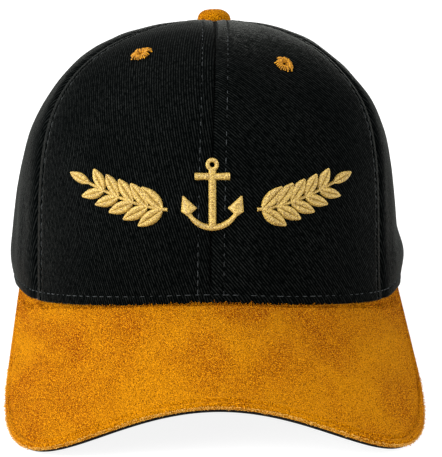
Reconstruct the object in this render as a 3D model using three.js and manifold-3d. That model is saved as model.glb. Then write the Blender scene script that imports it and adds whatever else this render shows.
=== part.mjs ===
// Captain's six-panel cap: a black twill crown, an arched suede peak, a covered button,
// stitched eyelets, a sweatband, a two-tab back strap and a raised thread emblem.
// Millimetres, +Z up. The cap is modelled level, facing -Y, and then tipped back until it
// lies on the two lobes of its peak and on its back rim. Left is -X, right is +X.
import * as THREE from 'three';
import Module from 'manifold-3d';
import { mergeVertices } from 'three/addons/utils/BufferGeometryUtils.js';

const wasm = await Module();
wasm.setup();

// Crown
const CROWN_HALF_WIDTH = 82;
const CROWN_FRONT = 97;
const CROWN_BACK = 103;
const CROWN_HEIGHT = 111;
const FRONT_WALL = 1.8;
const REAR_WALL = 1.2;
const FRONT_SEAM_ANGLE = 62.5;
const BACK_SEAM_ANGLE = 121;
const SEAM_DIP = 0.9;
const SEAM_DIP_REACH = 4.5;
const HEM_TUCK_HEIGHT = 7;
const HEM_DIP = 3.7;
const TOP_TILT_ANGLE = 4;
const TOP_HOLE = 3;
const TOP_ASIDE = 2.5;
const HEM_ASIDE = -0.7;

// Peak
const PEAK_END_ANGLE = 84;
const PEAK_SPREAD = 88.4;
const PEAK_ASIDE = 1.4;
const PEAK_CORNER_LEFT = 4.3;
const PEAK_CORNER_RIGHT = 3.9;
const PEAK_REACH = 60;
const PEAK_FALL = 33.5;
const PEAK_ARCH = 31.5;
const PEAK_SIDE = 0.44;
const PEAK_CAMBER = 1.2;
const PEAK_BOARD = 2.6;
const PEAK_LINING = 1.1;

// Button and eyelets
const BUTTON_RADIUS = 7.1;
const BUTTON_HEIGHT = 4.6;
const SHANK_RADIUS = 1.8;
const SHANK_LENGTH = 4;
const EYELET_RADIUS = 4.7;
const EYELET_HOLE = 1.1;
const SLEEVE_WALL = 0.6;
const EYELET_HEIGHT = 1;

// Sweatband, back opening and strap
const BAND_HEIGHT = 30;
const BAND_WALL = 1.2;
const OPENING_HALF_WIDTH = 45;
const OPENING_HEIGHT = 55;
const STRAP_HEIGHT = 22;
const STRAP_WALL = 1.2;
const STRAP_TUCK = 9;
const STRAP_PAST_CENTRE = 24;
const STRAP_TIP = 0.55;
const STRAP_RISE_START = 5;
const STRAP_RISE = 11;
const RIM_SETBACK = 1;

// Emblem
const ANCHOR_HEIGHT = 29;
const LAUREL_START = 18;
const LAUREL_LENGTH = 37;
const LEAF_LENGTH = 12.5;
const EMBLEM_LEVEL = 43.5;
const THREAD_HEIGHT = 1.1;

// Clearances
const GAP = 0.3;
const FLATTENED = 0.5;

// How the crown's section changes round the head. side and top are the powers of the
// rounded profile (higher is squarer), and the two bulges are shares of the half width.
const SECTIONS = [
  { azimuth: 0, side: 3.1, top: 2.5, bulgeLeft: 0, bulgeRight: 0 },
  { azimuth: 31, side: 3.1, top: 2.4, bulgeLeft: 0.012, bulgeRight: 0.006 },
  { azimuth: 63, side: 4.8, top: 2.05, bulgeLeft: 0, bulgeRight: -0.012 },
  { azimuth: 92, side: 2.5, top: 2.25, bulgeLeft: 0.024, bulgeRight: -0.004 },
  { azimuth: 121, side: 2.3, top: 2.2, bulgeLeft: 0.006, bulgeRight: 0.006 },
  { azimuth: 150, side: 2.2, top: 2.2, bulgeLeft: 0.018, bulgeRight: 0.018 },
  { azimuth: 180, side: 2.2, top: 2.2, bulgeLeft: 0, bulgeRight: 0 },
];

// The hem's level round the head, as a share of HEM_DIP below the front
const HEM = [
  { azimuth: 0, dip: 0 },
  { azimuth: 25, dip: 0.45 },
  { azimuth: 50, dip: 0.92 },
  { azimuth: 65, dip: 1 },
  { azimuth: 78, dip: 0.4 },
  { azimuth: 105, dip: 0 },
  { azimuth: 180, dip: 0 },
];

// Soft folds pressed into the side panels, and where depth is negative the roll of cloth
// above the hem. level and its reach are shares of the crown's height, depth of half width.
const FOLDS = [
  { azimuth: -92, level: 0.78, azimuthReach: 16, levelReach: 0.07, depth: 0.03 },
  { azimuth: 80, level: 0.85, azimuthReach: 22, levelReach: 0.09, depth: 0.04 },
  { azimuth: -100, level: 0.34, azimuthReach: 5, levelReach: 0.3, depth: 0.012 },
  { azimuth: 98, level: 0.38, azimuthReach: 5, levelReach: 0.3, depth: 0.012 },
  { azimuth: -94, level: 0.1, azimuthReach: 20, levelReach: 0.1, depth: -0.014 },
  { azimuth: 92, level: 0.11, azimuthReach: 18, levelReach: 0.08, depth: -0.034 },
];

const TWILL = new THREE.MeshStandardMaterial({ color: '#161617', roughness: 0.92 });
const LINING = new THREE.MeshStandardMaterial({ color: '#131314', roughness: 0.95 });
const SUEDE = new THREE.MeshStandardMaterial({ color: '#bc6e07', roughness: 0.97 });
const AMBER_THREAD = new THREE.MeshStandardMaterial({ color: '#c9862a', roughness: 0.6 });
const GOLD_THREAD = new THREE.MeshStandardMaterial({ color: '#d9a850', roughness: 0.45 });

const radians = THREE.MathUtils.degToRad;
const mix = THREE.MathUtils.lerp;
const smooth = (value, low, high) => THREE.MathUtils.smoothstep(value, low, high);

// A smooth curve through one column of a table, mirrored at both ends
function readTable(rows, key, column, at) {
  const last = rows.length - 1;
  let i = 0;
  while (i < last - 1 && at > rows[i + 1][key]) i += 1;
  const pick = (k) => rows[k < 0 ? -k : k > last ? 2 * last - k : k];
  const slope = (k) => {
    if (k === 0 || k === last) return 0;
    return (pick(k + 1)[column] - pick(k - 1)[column]) / (pick(k + 1)[key] - pick(k - 1)[key]);
  };
  const a = rows[i];
  const b = rows[i + 1];
  const span = b[key] - a[key];
  const t = THREE.MathUtils.clamp((at - a[key]) / span, 0, 1);
  const t2 = t * t;
  const t3 = t2 * t;
  return (2 * t3 - 3 * t2 + 1) * a[column] + (t3 - 2 * t2 + t) * span * slope(i)
    + (3 * t2 - 2 * t3) * b[column] + (t3 - t2) * span * slope(i + 1);
}

const hemLevel = (azimuth) => -HEM_DIP * readTable(HEM, 'azimuth', 'dip', Math.abs(azimuth));

// The plan of the head opening, an ellipse with a longer back half
function plan(azimuth) {
  const a = radians(azimuth);
  const depth = Math.abs(azimuth) <= 90 ? CROWN_FRONT : CROWN_BACK;
  return new THREE.Vector2(CROWN_HALF_WIDTH * Math.sin(a), -depth * Math.cos(a));
}

const azimuthAtX = (x) => 180 - THREE.MathUtils.radToDeg(Math.asin(x / CROWN_HALF_WIDTH));

// rise runs from 0 at the hem to a quarter turn at the apex
function crownBase(azimuth, rise) {
  const side = azimuth < 0 ? 'bulgeLeft' : 'bulgeRight';
  const sidePower = readTable(SECTIONS, 'azimuth', 'side', Math.abs(azimuth));
  const topPower = readTable(SECTIONS, 'azimuth', 'top', Math.abs(azimuth));
  const bulge = readTable(SECTIONS, 'azimuth', side, Math.abs(azimuth));
  const foot = plan(azimuth);
  const inward = Math.max(Math.cos(rise), 0) ** (2 / topPower);
  const upward = Math.max(Math.sin(rise), 0) ** (2 / sidePower);
  const height = CROWN_HEIGHT * upward;
  const untucked = 1 - Math.exp(-height / HEM_TUCK_HEIGHT);
  let swell = bulge * untucked * (1 - upward ** 3);
  for (const fold of FOLDS) {
    const away = ((azimuth - fold.azimuth) / fold.azimuthReach) ** 2
      + ((upward - fold.level) / fold.levelReach) ** 2;
    swell -= fold.depth * Math.exp(-away);
  }
  const spread = inward * (1 + swell * CROWN_HALF_WIDTH / foot.length());
  // The cloth leans to one side a little from hem to button, less on the flanks
  const flank = inward * Math.sin(radians(azimuth)) ** 2;
  const aside = mix(HEM_ASIDE, TOP_ASIDE, upward ** 1.8) * (1 - flank);
  const x = foot.x * spread + aside;
  const y = foot.y * spread;
  const lean = Math.tan(radians(TOP_TILT_ANGLE)) * y * (1 - inward) ** 2;
  return new THREE.Vector3(x, y, height + hemLevel(azimuth) * (1 - upward) - lean);
}

function crownNormal(azimuth, rise) {
  const step = 0.004;
  const low = Math.max(rise - step, 0.0005);
  const high = Math.min(rise + step, Math.PI / 2 - 0.0005);
  const along = crownBase(azimuth + 0.2, rise).sub(crownBase(azimuth - 0.2, rise));
  const up = crownBase(azimuth, high).sub(crownBase(azimuth, low));
  return along.cross(up).normalize();
}

// A point of the crown, raised off its smooth form by out
function crownPoint(azimuth, rise, out = 0) {
  return crownBase(azimuth, rise).addScaledVector(crownNormal(azimuth, rise), out);
}

// The rise that gives a share of the crown's height
function riseAtLevel(azimuth, level) {
  const sidePower = readTable(SECTIONS, 'azimuth', 'side', Math.abs(azimuth));
  return Math.asin(Math.min(level, 1) ** (sidePower / 2));
}

// Distance from the crown's axis, bulges and folds left out
function fromAxis(azimuth, rise) {
  const topPower = readTable(SECTIONS, 'azimuth', 'top', Math.abs(azimuth));
  return plan(azimuth).length() * Math.max(Math.cos(rise), 0) ** (2 / topPower);
}

function riseAtTopHole(azimuth) {
  const topPower = readTable(SECTIONS, 'azimuth', 'top', Math.abs(azimuth));
  return Math.acos((TOP_HOLE / plan(azimuth).length()) ** (topPower / 2));
}

// Rises for a column of the panel, evenly spaced along the cloth
function evenRises(azimuth, count) {
  const top = riseAtTopHole(azimuth);
  const fine = 60;
  const rises = [0];
  const lengths = [0];
  let before = crownBase(azimuth, 0);
  for (let i = 1; i <= fine; i += 1) {
    const rise = top * (i / fine) ** 2;
    const point = crownBase(azimuth, rise);
    rises.push(rise);
    lengths.push(lengths[i - 1] + point.distanceTo(before));
    before = point;
  }
  const even = [];
  let k = 0;
  for (let row = 0; row <= count; row += 1) {
    const wanted = lengths[fine] * row / count;
    while (k < fine - 1 && lengths[k + 1] < wanted) k += 1;
    const share = (wanted - lengths[k]) / (lengths[k + 1] - lengths[k]);
    even.push(mix(rises[k], rises[k + 1], share));
  }
  return even;
}

function signedVolume(positions, indices) {
  const a = new THREE.Vector3();
  const b = new THREE.Vector3();
  const c = new THREE.Vector3();
  let six = 0;
  for (let i = 0; i < indices.length; i += 3) {
    a.fromArray(positions, indices[i] * 3);
    b.fromArray(positions, indices[i + 1] * 3);
    c.fromArray(positions, indices[i + 2] * 3);
    six += a.dot(b.cross(c));
  }
  return six / 6;
}

// A closed wall between two grids of points, outer(i, j) and inner(i, j)
function wallBetween(columns, rows, outer, inner) {
  const positions = [];
  for (const side of [outer, inner]) {
    for (let i = 0; i <= columns; i += 1) {
      for (let j = 0; j <= rows; j += 1) positions.push(...side(i, j).toArray());
    }
  }
  const layer = (columns + 1) * (rows + 1);
  const at = (i, j, deep) => deep * layer + i * (rows + 1) + j;
  const indices = [];
  const quad = (a, b, c, d) => indices.push(a, b, c, a, c, d);
  for (let i = 0; i < columns; i += 1) {
    for (let j = 0; j < rows; j += 1) {
      quad(at(i, j, 0), at(i + 1, j, 0), at(i + 1, j + 1, 0), at(i, j + 1, 0));
      quad(at(i, j, 1), at(i, j + 1, 1), at(i + 1, j + 1, 1), at(i + 1, j, 1));
    }
    quad(at(i, 0, 1), at(i + 1, 0, 1), at(i + 1, 0, 0), at(i, 0, 0));
    quad(at(i, rows, 0), at(i + 1, rows, 0), at(i + 1, rows, 1), at(i, rows, 1));
  }
  for (let j = 0; j < rows; j += 1) {
    quad(at(0, j, 0), at(0, j + 1, 0), at(0, j + 1, 1), at(0, j, 1));
    quad(at(columns, j, 1), at(columns, j + 1, 1), at(columns, j + 1, 0), at(columns, j, 0));
  }
  if (signedVolume(positions, indices) < 0) indices.reverse();
  const geometry = new THREE.BufferGeometry();
  geometry.setAttribute('position', new THREE.Float32BufferAttribute(positions, 3));
  geometry.setIndex(indices);
  return geometry;
}

function toSolid(geometry) {
  const bare = geometry.clone();
  bare.deleteAttribute('normal');
  bare.deleteAttribute('uv');
  const merged = mergeVertices(bare, 1e-4);
  return new wasm.Manifold(new wasm.Mesh({
    numProp: 3,
    vertProperties: new Float32Array(merged.attributes.position.array),
    triVerts: new Uint32Array(merged.index.array),
  }));
}

function toGeometry(solid) {
  const mesh = solid.getMesh();
  const geometry = new THREE.BufferGeometry();
  geometry.setAttribute('position', new THREE.Float32BufferAttribute(mesh.vertProperties, 3));
  geometry.setIndex(Array.from(mesh.triVerts));
  return geometry;
}

const cut = (geometry, tool) => toGeometry(toSolid(geometry).subtract(toSolid(tool)));

function addPiece(group, name, geometry, material) {
  const mesh = new THREE.Mesh(geometry, material);
  mesh.name = name;
  group.add(mesh);
  return mesh;
}

// Turns a geometry made along +Z so that it stands on the crown at an eyelet's place
function standOnCrown(geometry, azimuth, rise, out) {
  const normal = crownNormal(azimuth, rise);
  const turn = new THREE.Quaternion().setFromUnitVectors(new THREE.Vector3(0, 0, 1), normal);
  const place = crownPoint(azimuth, rise, out);
  return geometry.applyQuaternion(turn).translate(place.x, place.y, place.z);
}

// Crown panels

// Columns crowd towards the seams, where the cloth dips
const COLUMN_SHARES = [0, 0.025, 0.075, 0.18, 0.34, 0.5, 0.66, 0.82, 0.925, 0.975, 1];
const PANEL_ROWS = 14;

function panel(from, to, wall) {
  const columns = COLUMN_SHARES.length - 1;
  const middles = COLUMN_SHARES.map((share) => mix(from, to, share));
  const rises = middles.map((azimuth) => evenRises(azimuth, PANEL_ROWS));
  const point = (i, j, out) => {
    const rise = rises[i][j];
    const radius = fromAxis(middles[i], rise);
    const halfGap = THREE.MathUtils.radToDeg(GAP / 2 / radius);
    const azimuth = mix(from + halfGap, to - halfGap, COLUMN_SHARES[i]);
    const width = radians(to - from) * radius;
    const toSeam = width * Math.min(COLUMN_SHARES[i], 1 - COLUMN_SHARES[i]);
    const dip = SEAM_DIP * Math.exp(-((toSeam / SEAM_DIP_REACH) ** 2));
    return crownPoint(azimuth, rise, out - dip);
  };
  return wallBetween(columns, PANEL_ROWS, (i, j) => point(i, j, 0), (i, j) => point(i, j, -wall));
}

function eyeletCutter(azimuth, rise) {
  const length = 4 * FRONT_WALL;
  const radius = EYELET_HOLE + SLEEVE_WALL + 1.3 * GAP;
  const cutter = new THREE.CylinderGeometry(radius, radius, length, 12);
  cutter.rotateX(Math.PI / 2);
  return standOnCrown(cutter, azimuth, rise, 0);
}

// The arch over the strap, as a prism through the back of the crown
function openingCutter() {
  const below = 4 * HEM_DIP + RIM_SETBACK;
  const outline = new THREE.Shape();
  outline.moveTo(-OPENING_HALF_WIDTH, -below);
  outline.lineTo(OPENING_HALF_WIDTH, -below);
  outline.lineTo(OPENING_HALF_WIDTH, 0);
  outline.absellipse(0, 0, OPENING_HALF_WIDTH, OPENING_HEIGHT, 0, Math.PI, false);
  outline.closePath();
  const prism = new THREE.ExtrudeGeometry(outline, {
    depth: CROWN_BACK, bevelEnabled: false, curveSegments: 9,
  });
  prism.rotateX(Math.PI / 2);
  return prism.translate(0, CROWN_BACK * 1.3, 0);
}

// Stitched eyelet: a low ring of thread on the cloth with a sleeve down through the hole
function eyelet(azimuth, rise) {
  const sleeve = EYELET_HOLE + SLEEVE_WALL;
  const profile = [
    [EYELET_HOLE, -FRONT_WALL],
    [sleeve, -FRONT_WALL],
    [sleeve, GAP],
    [EYELET_RADIUS * 0.94, GAP],
    [EYELET_RADIUS, GAP + EYELET_HEIGHT * 0.35],
    [EYELET_RADIUS * 0.84, GAP + EYELET_HEIGHT * 0.85],
    [EYELET_RADIUS * 0.58, GAP + EYELET_HEIGHT],
    [EYELET_HOLE, GAP + EYELET_HEIGHT * 0.35],
  ].map(([radius, height]) => new THREE.Vector2(radius, height));
  const ring = new THREE.LatheGeometry([...profile, profile[0].clone()], 14);
  return standOnCrown(ring.rotateX(Math.PI / 2), azimuth, rise, 0);
}

// Each panel's edges, wall, and the azimuth and level of its eyelet on either side
const CENTRE_BACK_ANGLE = 180;
const PANELS = [
  {
    name: 'front',
    from: 0,
    to: FRONT_SEAM_ANGLE,
    wall: FRONT_WALL,
    left: { azimuth: -35, level: 0.88 },
    right: { azimuth: 31, level: 0.845 },
  },
  {
    name: 'side',
    from: FRONT_SEAM_ANGLE,
    to: BACK_SEAM_ANGLE,
    wall: REAR_WALL,
    left: { azimuth: -96, level: 0.84 },
    right: { azimuth: 96, level: 0.84 },
  },
  {
    name: 'back',
    from: BACK_SEAM_ANGLE,
    to: CENTRE_BACK_ANGLE,
    wall: REAR_WALL,
    left: { azimuth: -150, level: 0.85 },
    right: { azimuth: 150, level: 0.85 },
  },
];

function addCrown(group) {
  for (const { name, from, to, wall, ...eyelets } of PANELS) {
    for (const [side, sign] of [['left', -1], ['right', 1]]) {
      const low = sign < 0 ? -to : from;
      const high = sign < 0 ? -from : to;
      const { azimuth, level } = eyelets[side];
      const rise = riseAtLevel(azimuth, level);
      let cloth = cut(panel(low, high, wall), eyeletCutter(azimuth, rise));
      if (name === 'back') cloth = cut(cloth, openingCutter());
      addPiece(group, `panel_${name}_${side}`, cloth, TWILL);
      addPiece(group, `eyelet_${name}_${side}`, eyelet(azimuth, rise), AMBER_THREAD);
    }
  }
}

// Button, a covered dome with its shank through the meeting point of the panels
function addButton(group) {
  const steps = 6;
  const profile = [[0, -SHANK_LENGTH], [SHANK_RADIUS, -SHANK_LENGTH], [SHANK_RADIUS, 0]];
  profile.push([BUTTON_RADIUS * 0.93, 0]);
  for (let i = 1; i < steps; i += 1) {
    const a = Math.PI / 2 * i / steps;
    profile.push([BUTTON_RADIUS * Math.cos(a) ** 0.8, BUTTON_HEIGHT * Math.sin(a)]);
  }
  profile.push([0, BUTTON_HEIGHT]);
  const shape = profile.map(([radius, height]) => new THREE.Vector2(radius, height));
  const dome = new THREE.LatheGeometry(shape, 18);
  dome.rotateX(Math.PI / 2 - radians(TOP_TILT_ANGLE));
  dome.translate(TOP_ASIDE, 0, CROWN_HEIGHT + GAP - SEAM_DIP / 2);
  addPiece(group, 'button', dome, SUEDE);
}

// Peak

// The peak is a board bent over the brow: straight lines run from the hem to a front line
// beyond the rounded corners, which peakTrim then cuts off. across runs from -1 to 1.
function peakHem(across) {
  const azimuth = THREE.MathUtils.radToDeg(Math.asin(across * Math.sin(radians(PEAK_END_ANGLE))));
  const place = plan(azimuth);
  const inset = 1 - FRONT_WALL / 2 / place.length();
  return new THREE.Vector3(place.x * inset, place.y * inset, hemLevel(azimuth) - GAP);
}

function peakFrontLine(across) {
  const arch = PEAK_ARCH * (1.28 * across ** 2 - 0.28 * across ** 4);
  return new THREE.Vector3(
    PEAK_SPREAD * across + PEAK_ASIDE, -CROWN_FRONT - PEAK_REACH, -PEAK_FALL - arch);
}

// The left corner is a little squarer than the right
function peakTrim(across) {
  const corner = across < 0 ? PEAK_CORNER_LEFT : PEAK_CORNER_RIGHT;
  return PEAK_SIDE + (1 - PEAK_SIDE) * Math.max(0, 1 - Math.abs(across) ** corner) ** 0.38;
}

function peakBase(across, out) {
  const point = peakHem(across).lerp(peakFrontLine(across), out);
  point.z += PEAK_CAMBER * 4 * out * (1 - out) * (1 - across * across);
  return point;
}

function peakPoint(across, out, depth) {
  const step = 0.004;
  const a = Math.min(Math.abs(across), 1 - step) * Math.sign(across);
  const sideways = peakBase(a + step, out).sub(peakBase(a - step, out));
  const forward = peakBase(across, out + step).sub(peakBase(across, out - step));
  const normal = forward.cross(sideways).normalize();
  return peakBase(across, out).addScaledVector(normal, -depth);
}

const PEAK_COLUMNS = 36;
const PEAK_ROWS = 5;

function peakSheet(top, bottom, inset) {
  const point = (i, j, depth) => {
    const even = mix(-1, 1, i / PEAK_COLUMNS);
    const across = Math.sign(even) * (1 - (1 - Math.abs(even)) ** 2);
    const out = (peakTrim(across) - inset / PEAK_REACH) * j / PEAK_ROWS;
    return peakPoint(across * (1 - inset / PEAK_SPREAD), out, depth);
  };
  return wallBetween(PEAK_COLUMNS, PEAK_ROWS,
    (i, j) => point(i, j, top),
    (i, j) => point(i, j, bottom));
}

function addPeak(group) {
  addPiece(group, 'peak_suede', peakSheet(0, PEAK_BOARD, 0), SUEDE);
  const top = PEAK_BOARD + GAP;
  addPiece(group, 'peak_underside', peakSheet(top, top + PEAK_LINING, 0.5), LINING);
}

// Sweatband and strap

// Wall thickness of the crown that a piece inside it has to clear
const crownWallAt = (azimuth) => {
  const past = (Math.abs(azimuth) - FRONT_SEAM_ANGLE) / (BACK_SEAM_ANGLE - FRONT_SEAM_ANGLE);
  return mix(FRONT_WALL, REAR_WALL, smooth(past, 0.02, 0.17));
};

function rimPoint(azimuth, height, out) {
  return crownPoint(azimuth, riseAtLevel(azimuth, height / CROWN_HEIGHT), out);
}

function addSweatband(group) {
  const end = azimuthAtX(OPENING_HALF_WIDTH + STRAP_TUCK + 2 * GAP);
  const columns = 36;
  const rows = 3;
  const point = (i, j, deep) => {
    const azimuth = mix(-end, end, i / columns);
    const height = mix(RIM_SETBACK, BAND_HEIGHT, j / rows);
    return rimPoint(azimuth, height, -crownWallAt(azimuth) - SEAM_DIP - GAP - deep);
  };
  const band = wallBetween(columns, rows, (i, j) => point(i, j, 0), (i, j) => point(i, j, BAND_WALL));
  addPiece(group, 'sweatband', band, LINING);
}

// One tab of the strap. It starts inside the crown beside the opening and ends past the
// middle of the back, and lift carries the outer tab over the inner one.
function strapTab(sign, lift) {
  const start = OPENING_HALF_WIDTH + STRAP_TUCK;
  const columns = 18;
  const rows = 2;
  const round = STRAP_HEIGHT / 2;
  const point = (i, j, deep) => {
    const x = mix(start, -STRAP_PAST_CENTRE, i / columns);
    const azimuth = x > 0 ? azimuthAtX(x) : 360 - azimuthAtX(-x);
    const signed = azimuth > 180 ? -sign * (360 - azimuth) : sign * azimuth;
    const toEnd = Math.max(0, round - (x + STRAP_PAST_CENTRE)) / round;
    const half = STRAP_HEIGHT / 2 * mix(STRAP_TIP, 1, Math.sqrt(1 - toEnd * toEnd));
    const height = RIM_SETBACK / 2 + STRAP_HEIGHT / 2 + half * mix(-1, 1, j / rows);
    const past = OPENING_HALF_WIDTH - x;
    const free = smooth(past, STRAP_RISE_START, STRAP_RISE_START + STRAP_RISE);
    const out = -REAR_WALL - SEAM_DIP - GAP + lift * free - deep;
    return rimPoint(signed, height, out);
  };
  return wallBetween(columns, rows, (i, j) => point(i, j, 0), (i, j) => point(i, j, STRAP_WALL));
}

function addStrap(group) {
  addPiece(group, 'strap_tab_left', strapTab(-1, 0), TWILL);
  addPiece(group, 'strap_tab_right', strapTab(1, STRAP_WALL + GAP), TWILL);
}

// Emblem, raised thread on the front: an anchor between two laurel sprays

function anchorOutline() {
  const h = ANCHOR_HEIGHT;
  const outlines = [];
  const shank = 0.05 * h;
  const box = (left, low, right, high) => {
    const shape = new THREE.Shape();
    shape.moveTo(left, low);
    shape.lineTo(right, low);
    shape.lineTo(right, high);
    shape.lineTo(left, high);
    shape.closePath();
    return shape;
  };
  outlines.push(box(-shank, -0.44 * h, shank, 0.34 * h));
  outlines.push(box(-0.24 * h, 0.2 * h, 0.24 * h, 0.29 * h));
  const ring = new THREE.Shape();
  ring.absarc(0, 0.41 * h, 0.09 * h, 0, Math.PI * 2, false);
  const eye = new THREE.Path();
  eye.absarc(0, 0.41 * h, 0.04 * h, 0, Math.PI * 2, true);
  ring.holes.push(eye);
  outlines.push(ring);
  const arms = new THREE.Shape();
  arms.absarc(0, -0.12 * h, 0.38 * h, Math.PI * 1.08, Math.PI * 1.92, false);
  arms.absarc(0, -0.05 * h, 0.37 * h, Math.PI * 1.88, Math.PI * 1.12, true);
  arms.closePath();
  outlines.push(arms);
  for (const sign of [-1, 1]) {
    const fluke = new THREE.Shape();
    fluke.moveTo(sign * 0.41 * h, -0.02 * h);
    fluke.lineTo(sign * 0.22 * h, -0.19 * h);
    fluke.lineTo(sign * 0.34 * h, -0.3 * h);
    fluke.lineTo(sign * 0.43 * h, -0.24 * h);
    fluke.closePath();
    outlines.push(fluke);
  }
  return outlines;
}

// A pointed leaf of two arcs from its stalk at the origin along +X
function leafOutline(length) {
  const half = length * 0.21;
  const leaf = new THREE.Shape();
  leaf.moveTo(0, 0);
  leaf.quadraticCurveTo(length * 0.45, half * 2, length, 0);
  leaf.quadraticCurveTo(length * 0.45, -half * 2, 0, 0);
  return leaf;
}

const LAUREL_PAIRS = 5;

// The spray's stem, rising in a shallow bow away from the anchor
function stemAt(share) {
  return new THREE.Vector2(
    LAUREL_START + LAUREL_LENGTH * 0.86 * share,
    LAUREL_LENGTH * (-0.17 + 0.26 * share ** 1.6));
}

function laurelOutlines(sign) {
  const outlines = [];
  const stemHalf = 0.55;
  const steps = 8;
  const stem = new THREE.Shape();
  for (let i = 0; i <= steps; i += 1) {
    const point = stemAt(i / steps);
    if (i === 0) stem.moveTo(sign * point.x, point.y - stemHalf);
    else stem.lineTo(sign * point.x, point.y - stemHalf);
  }
  for (let i = steps; i >= 0; i -= 1) {
    const point = stemAt(i / steps);
    stem.lineTo(sign * point.x, point.y + stemHalf);
  }
  stem.closePath();
  outlines.push({ shape: stem, x: 0, y: 0, turn: 0 });
  for (let i = 0; i <= LAUREL_PAIRS; i += 1) {
    const share = (i + 0.3) / (LAUREL_PAIRS + 0.4);
    const point = stemAt(share);
    const ahead = stemAt(share + 0.02).sub(point);
    const heading = Math.atan2(ahead.y, ahead.x);
    const length = LEAF_LENGTH * mix(1, 0.72, share);
    const splays = i === LAUREL_PAIRS ? [0] : [radians(40), -radians(40)];
    for (const splay of splays) {
      const turn = heading + splay;
      outlines.push({
        shape: leafOutline(length),
        x: sign * point.x,
        y: point.y,
        turn: sign < 0 ? Math.PI - turn : turn,
      });
    }
  }
  return outlines;
}

// The skin of thread over the front panels that the emblem is cut from
function emblemSkin() {
  const columns = 20;
  const rows = 6;
  const side = LAUREL_START + LAUREL_LENGTH + LEAF_LENGTH / 2;
  const reach = THREE.MathUtils.radToDeg(Math.asin(side / CROWN_HALF_WIDTH));
  const point = (i, j, out) => {
    const azimuth = mix(-reach, reach, i / columns);
    const height = EMBLEM_LEVEL + ANCHOR_HEIGHT * mix(-0.75, 0.75, j / rows);
    return rimPoint(azimuth, height, out);
  };
  return wallBetween(columns, rows,
    (i, j) => point(i, j, GAP + THREAD_HEIGHT),
    (i, j) => point(i, j, GAP));
}

function raised(outlines) {
  const depth = CROWN_FRONT;
  const skin = toSolid(emblemSkin());
  let motif = null;
  for (const { shape, x, y, turn } of outlines) {
    const prism = new THREE.ExtrudeGeometry(shape, { depth, bevelEnabled: false, curveSegments: 4 });
    prism.rotateZ(turn).translate(x, y, 0).rotateX(Math.PI / 2);
    prism.translate(0, -CROWN_FRONT * 0.25, EMBLEM_LEVEL);
    const solid = toSolid(prism);
    motif = motif ? motif.add(solid) : solid;
  }
  return toGeometry(motif.intersect(skin));
}

function addEmblem(group) {
  const anchor = anchorOutline().map((shape) => ({ shape, x: 0, y: 0, turn: 0 }));
  addPiece(group, 'anchor', raised(anchor), GOLD_THREAD);
  addPiece(group, 'laurel_left', raised(laurelOutlines(-1)), GOLD_THREAD);
  addPiece(group, 'laurel_right', raised(laurelOutlines(1)), GOLD_THREAD);
}

// Resting pose

function lowestPoint(group, tilt, keeps) {
  const point = new THREE.Vector3();
  let lowest = Infinity;
  for (const mesh of group.children) {
    const position = mesh.geometry.attributes.position;
    for (let i = 0; i < position.count; i += 1) {
      point.fromBufferAttribute(position, i);
      if (!keeps(point.y)) continue;
      lowest = Math.min(lowest, point.y * Math.sin(tilt) + point.z * Math.cos(tilt));
    }
  }
  return lowest;
}

// The tilt, front raised, at which the peak and the back rim come down together
function restingTilt(group) {
  let low = -Math.PI / 4;
  let high = 0;
  for (let step = 0; step < 40; step += 1) {
    const tilt = (low + high) / 2;
    const front = lowestPoint(group, tilt, (y) => y < 0);
    const back = lowestPoint(group, tilt, (y) => y >= 0);
    if (front > back) low = tilt;
    else high = tilt;
  }
  return (low + high) / 2;
}

// The cloth that meets the surface is pressed flat on it
function pressFlat(group, tilt, floor) {
  const size = 6 * CROWN_BACK;
  for (const mesh of group.children) {
    const slab = new THREE.BoxGeometry(size, size, size);
    slab.translate(0, 0, floor - size / 2).rotateX(-tilt);
    const solid = toSolid(mesh.geometry);
    const tool = toSolid(slab);
    if (solid.intersect(tool).isEmpty()) continue;
    mesh.geometry = toGeometry(solid.subtract(tool));
  }
}

function makeHat() {
  const cap = new THREE.Group();
  addCrown(cap);
  addButton(cap);
  addPeak(cap);
  addSweatband(cap);
  addStrap(cap);
  addEmblem(cap);

  const tilt = restingTilt(cap);
  const floor = lowestPoint(cap, tilt, () => true) + FLATTENED;
  pressFlat(cap, tilt, floor);
  cap.rotation.x = tilt;
  cap.position.z = -floor;

  const hat = new THREE.Group();
  hat.add(cap);
  hat.updateMatrixWorld(true);
  const bounds = new THREE.Box3().setFromObject(hat, true);
  const centre = bounds.getCenter(new THREE.Vector3());
  cap.position.x -= centre.x;
  cap.position.y -= centre.y;
  hat.updateMatrixWorld(true);
  return hat;
}

export default makeHat();
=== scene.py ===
import math
from contextlib import contextmanager

import bmesh
import bpy
import numpy as np
from bpy.props import FloatProperty, FloatVectorProperty, IntProperty, PointerProperty
from mathutils import Matrix, Vector, kdtree, noise


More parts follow.
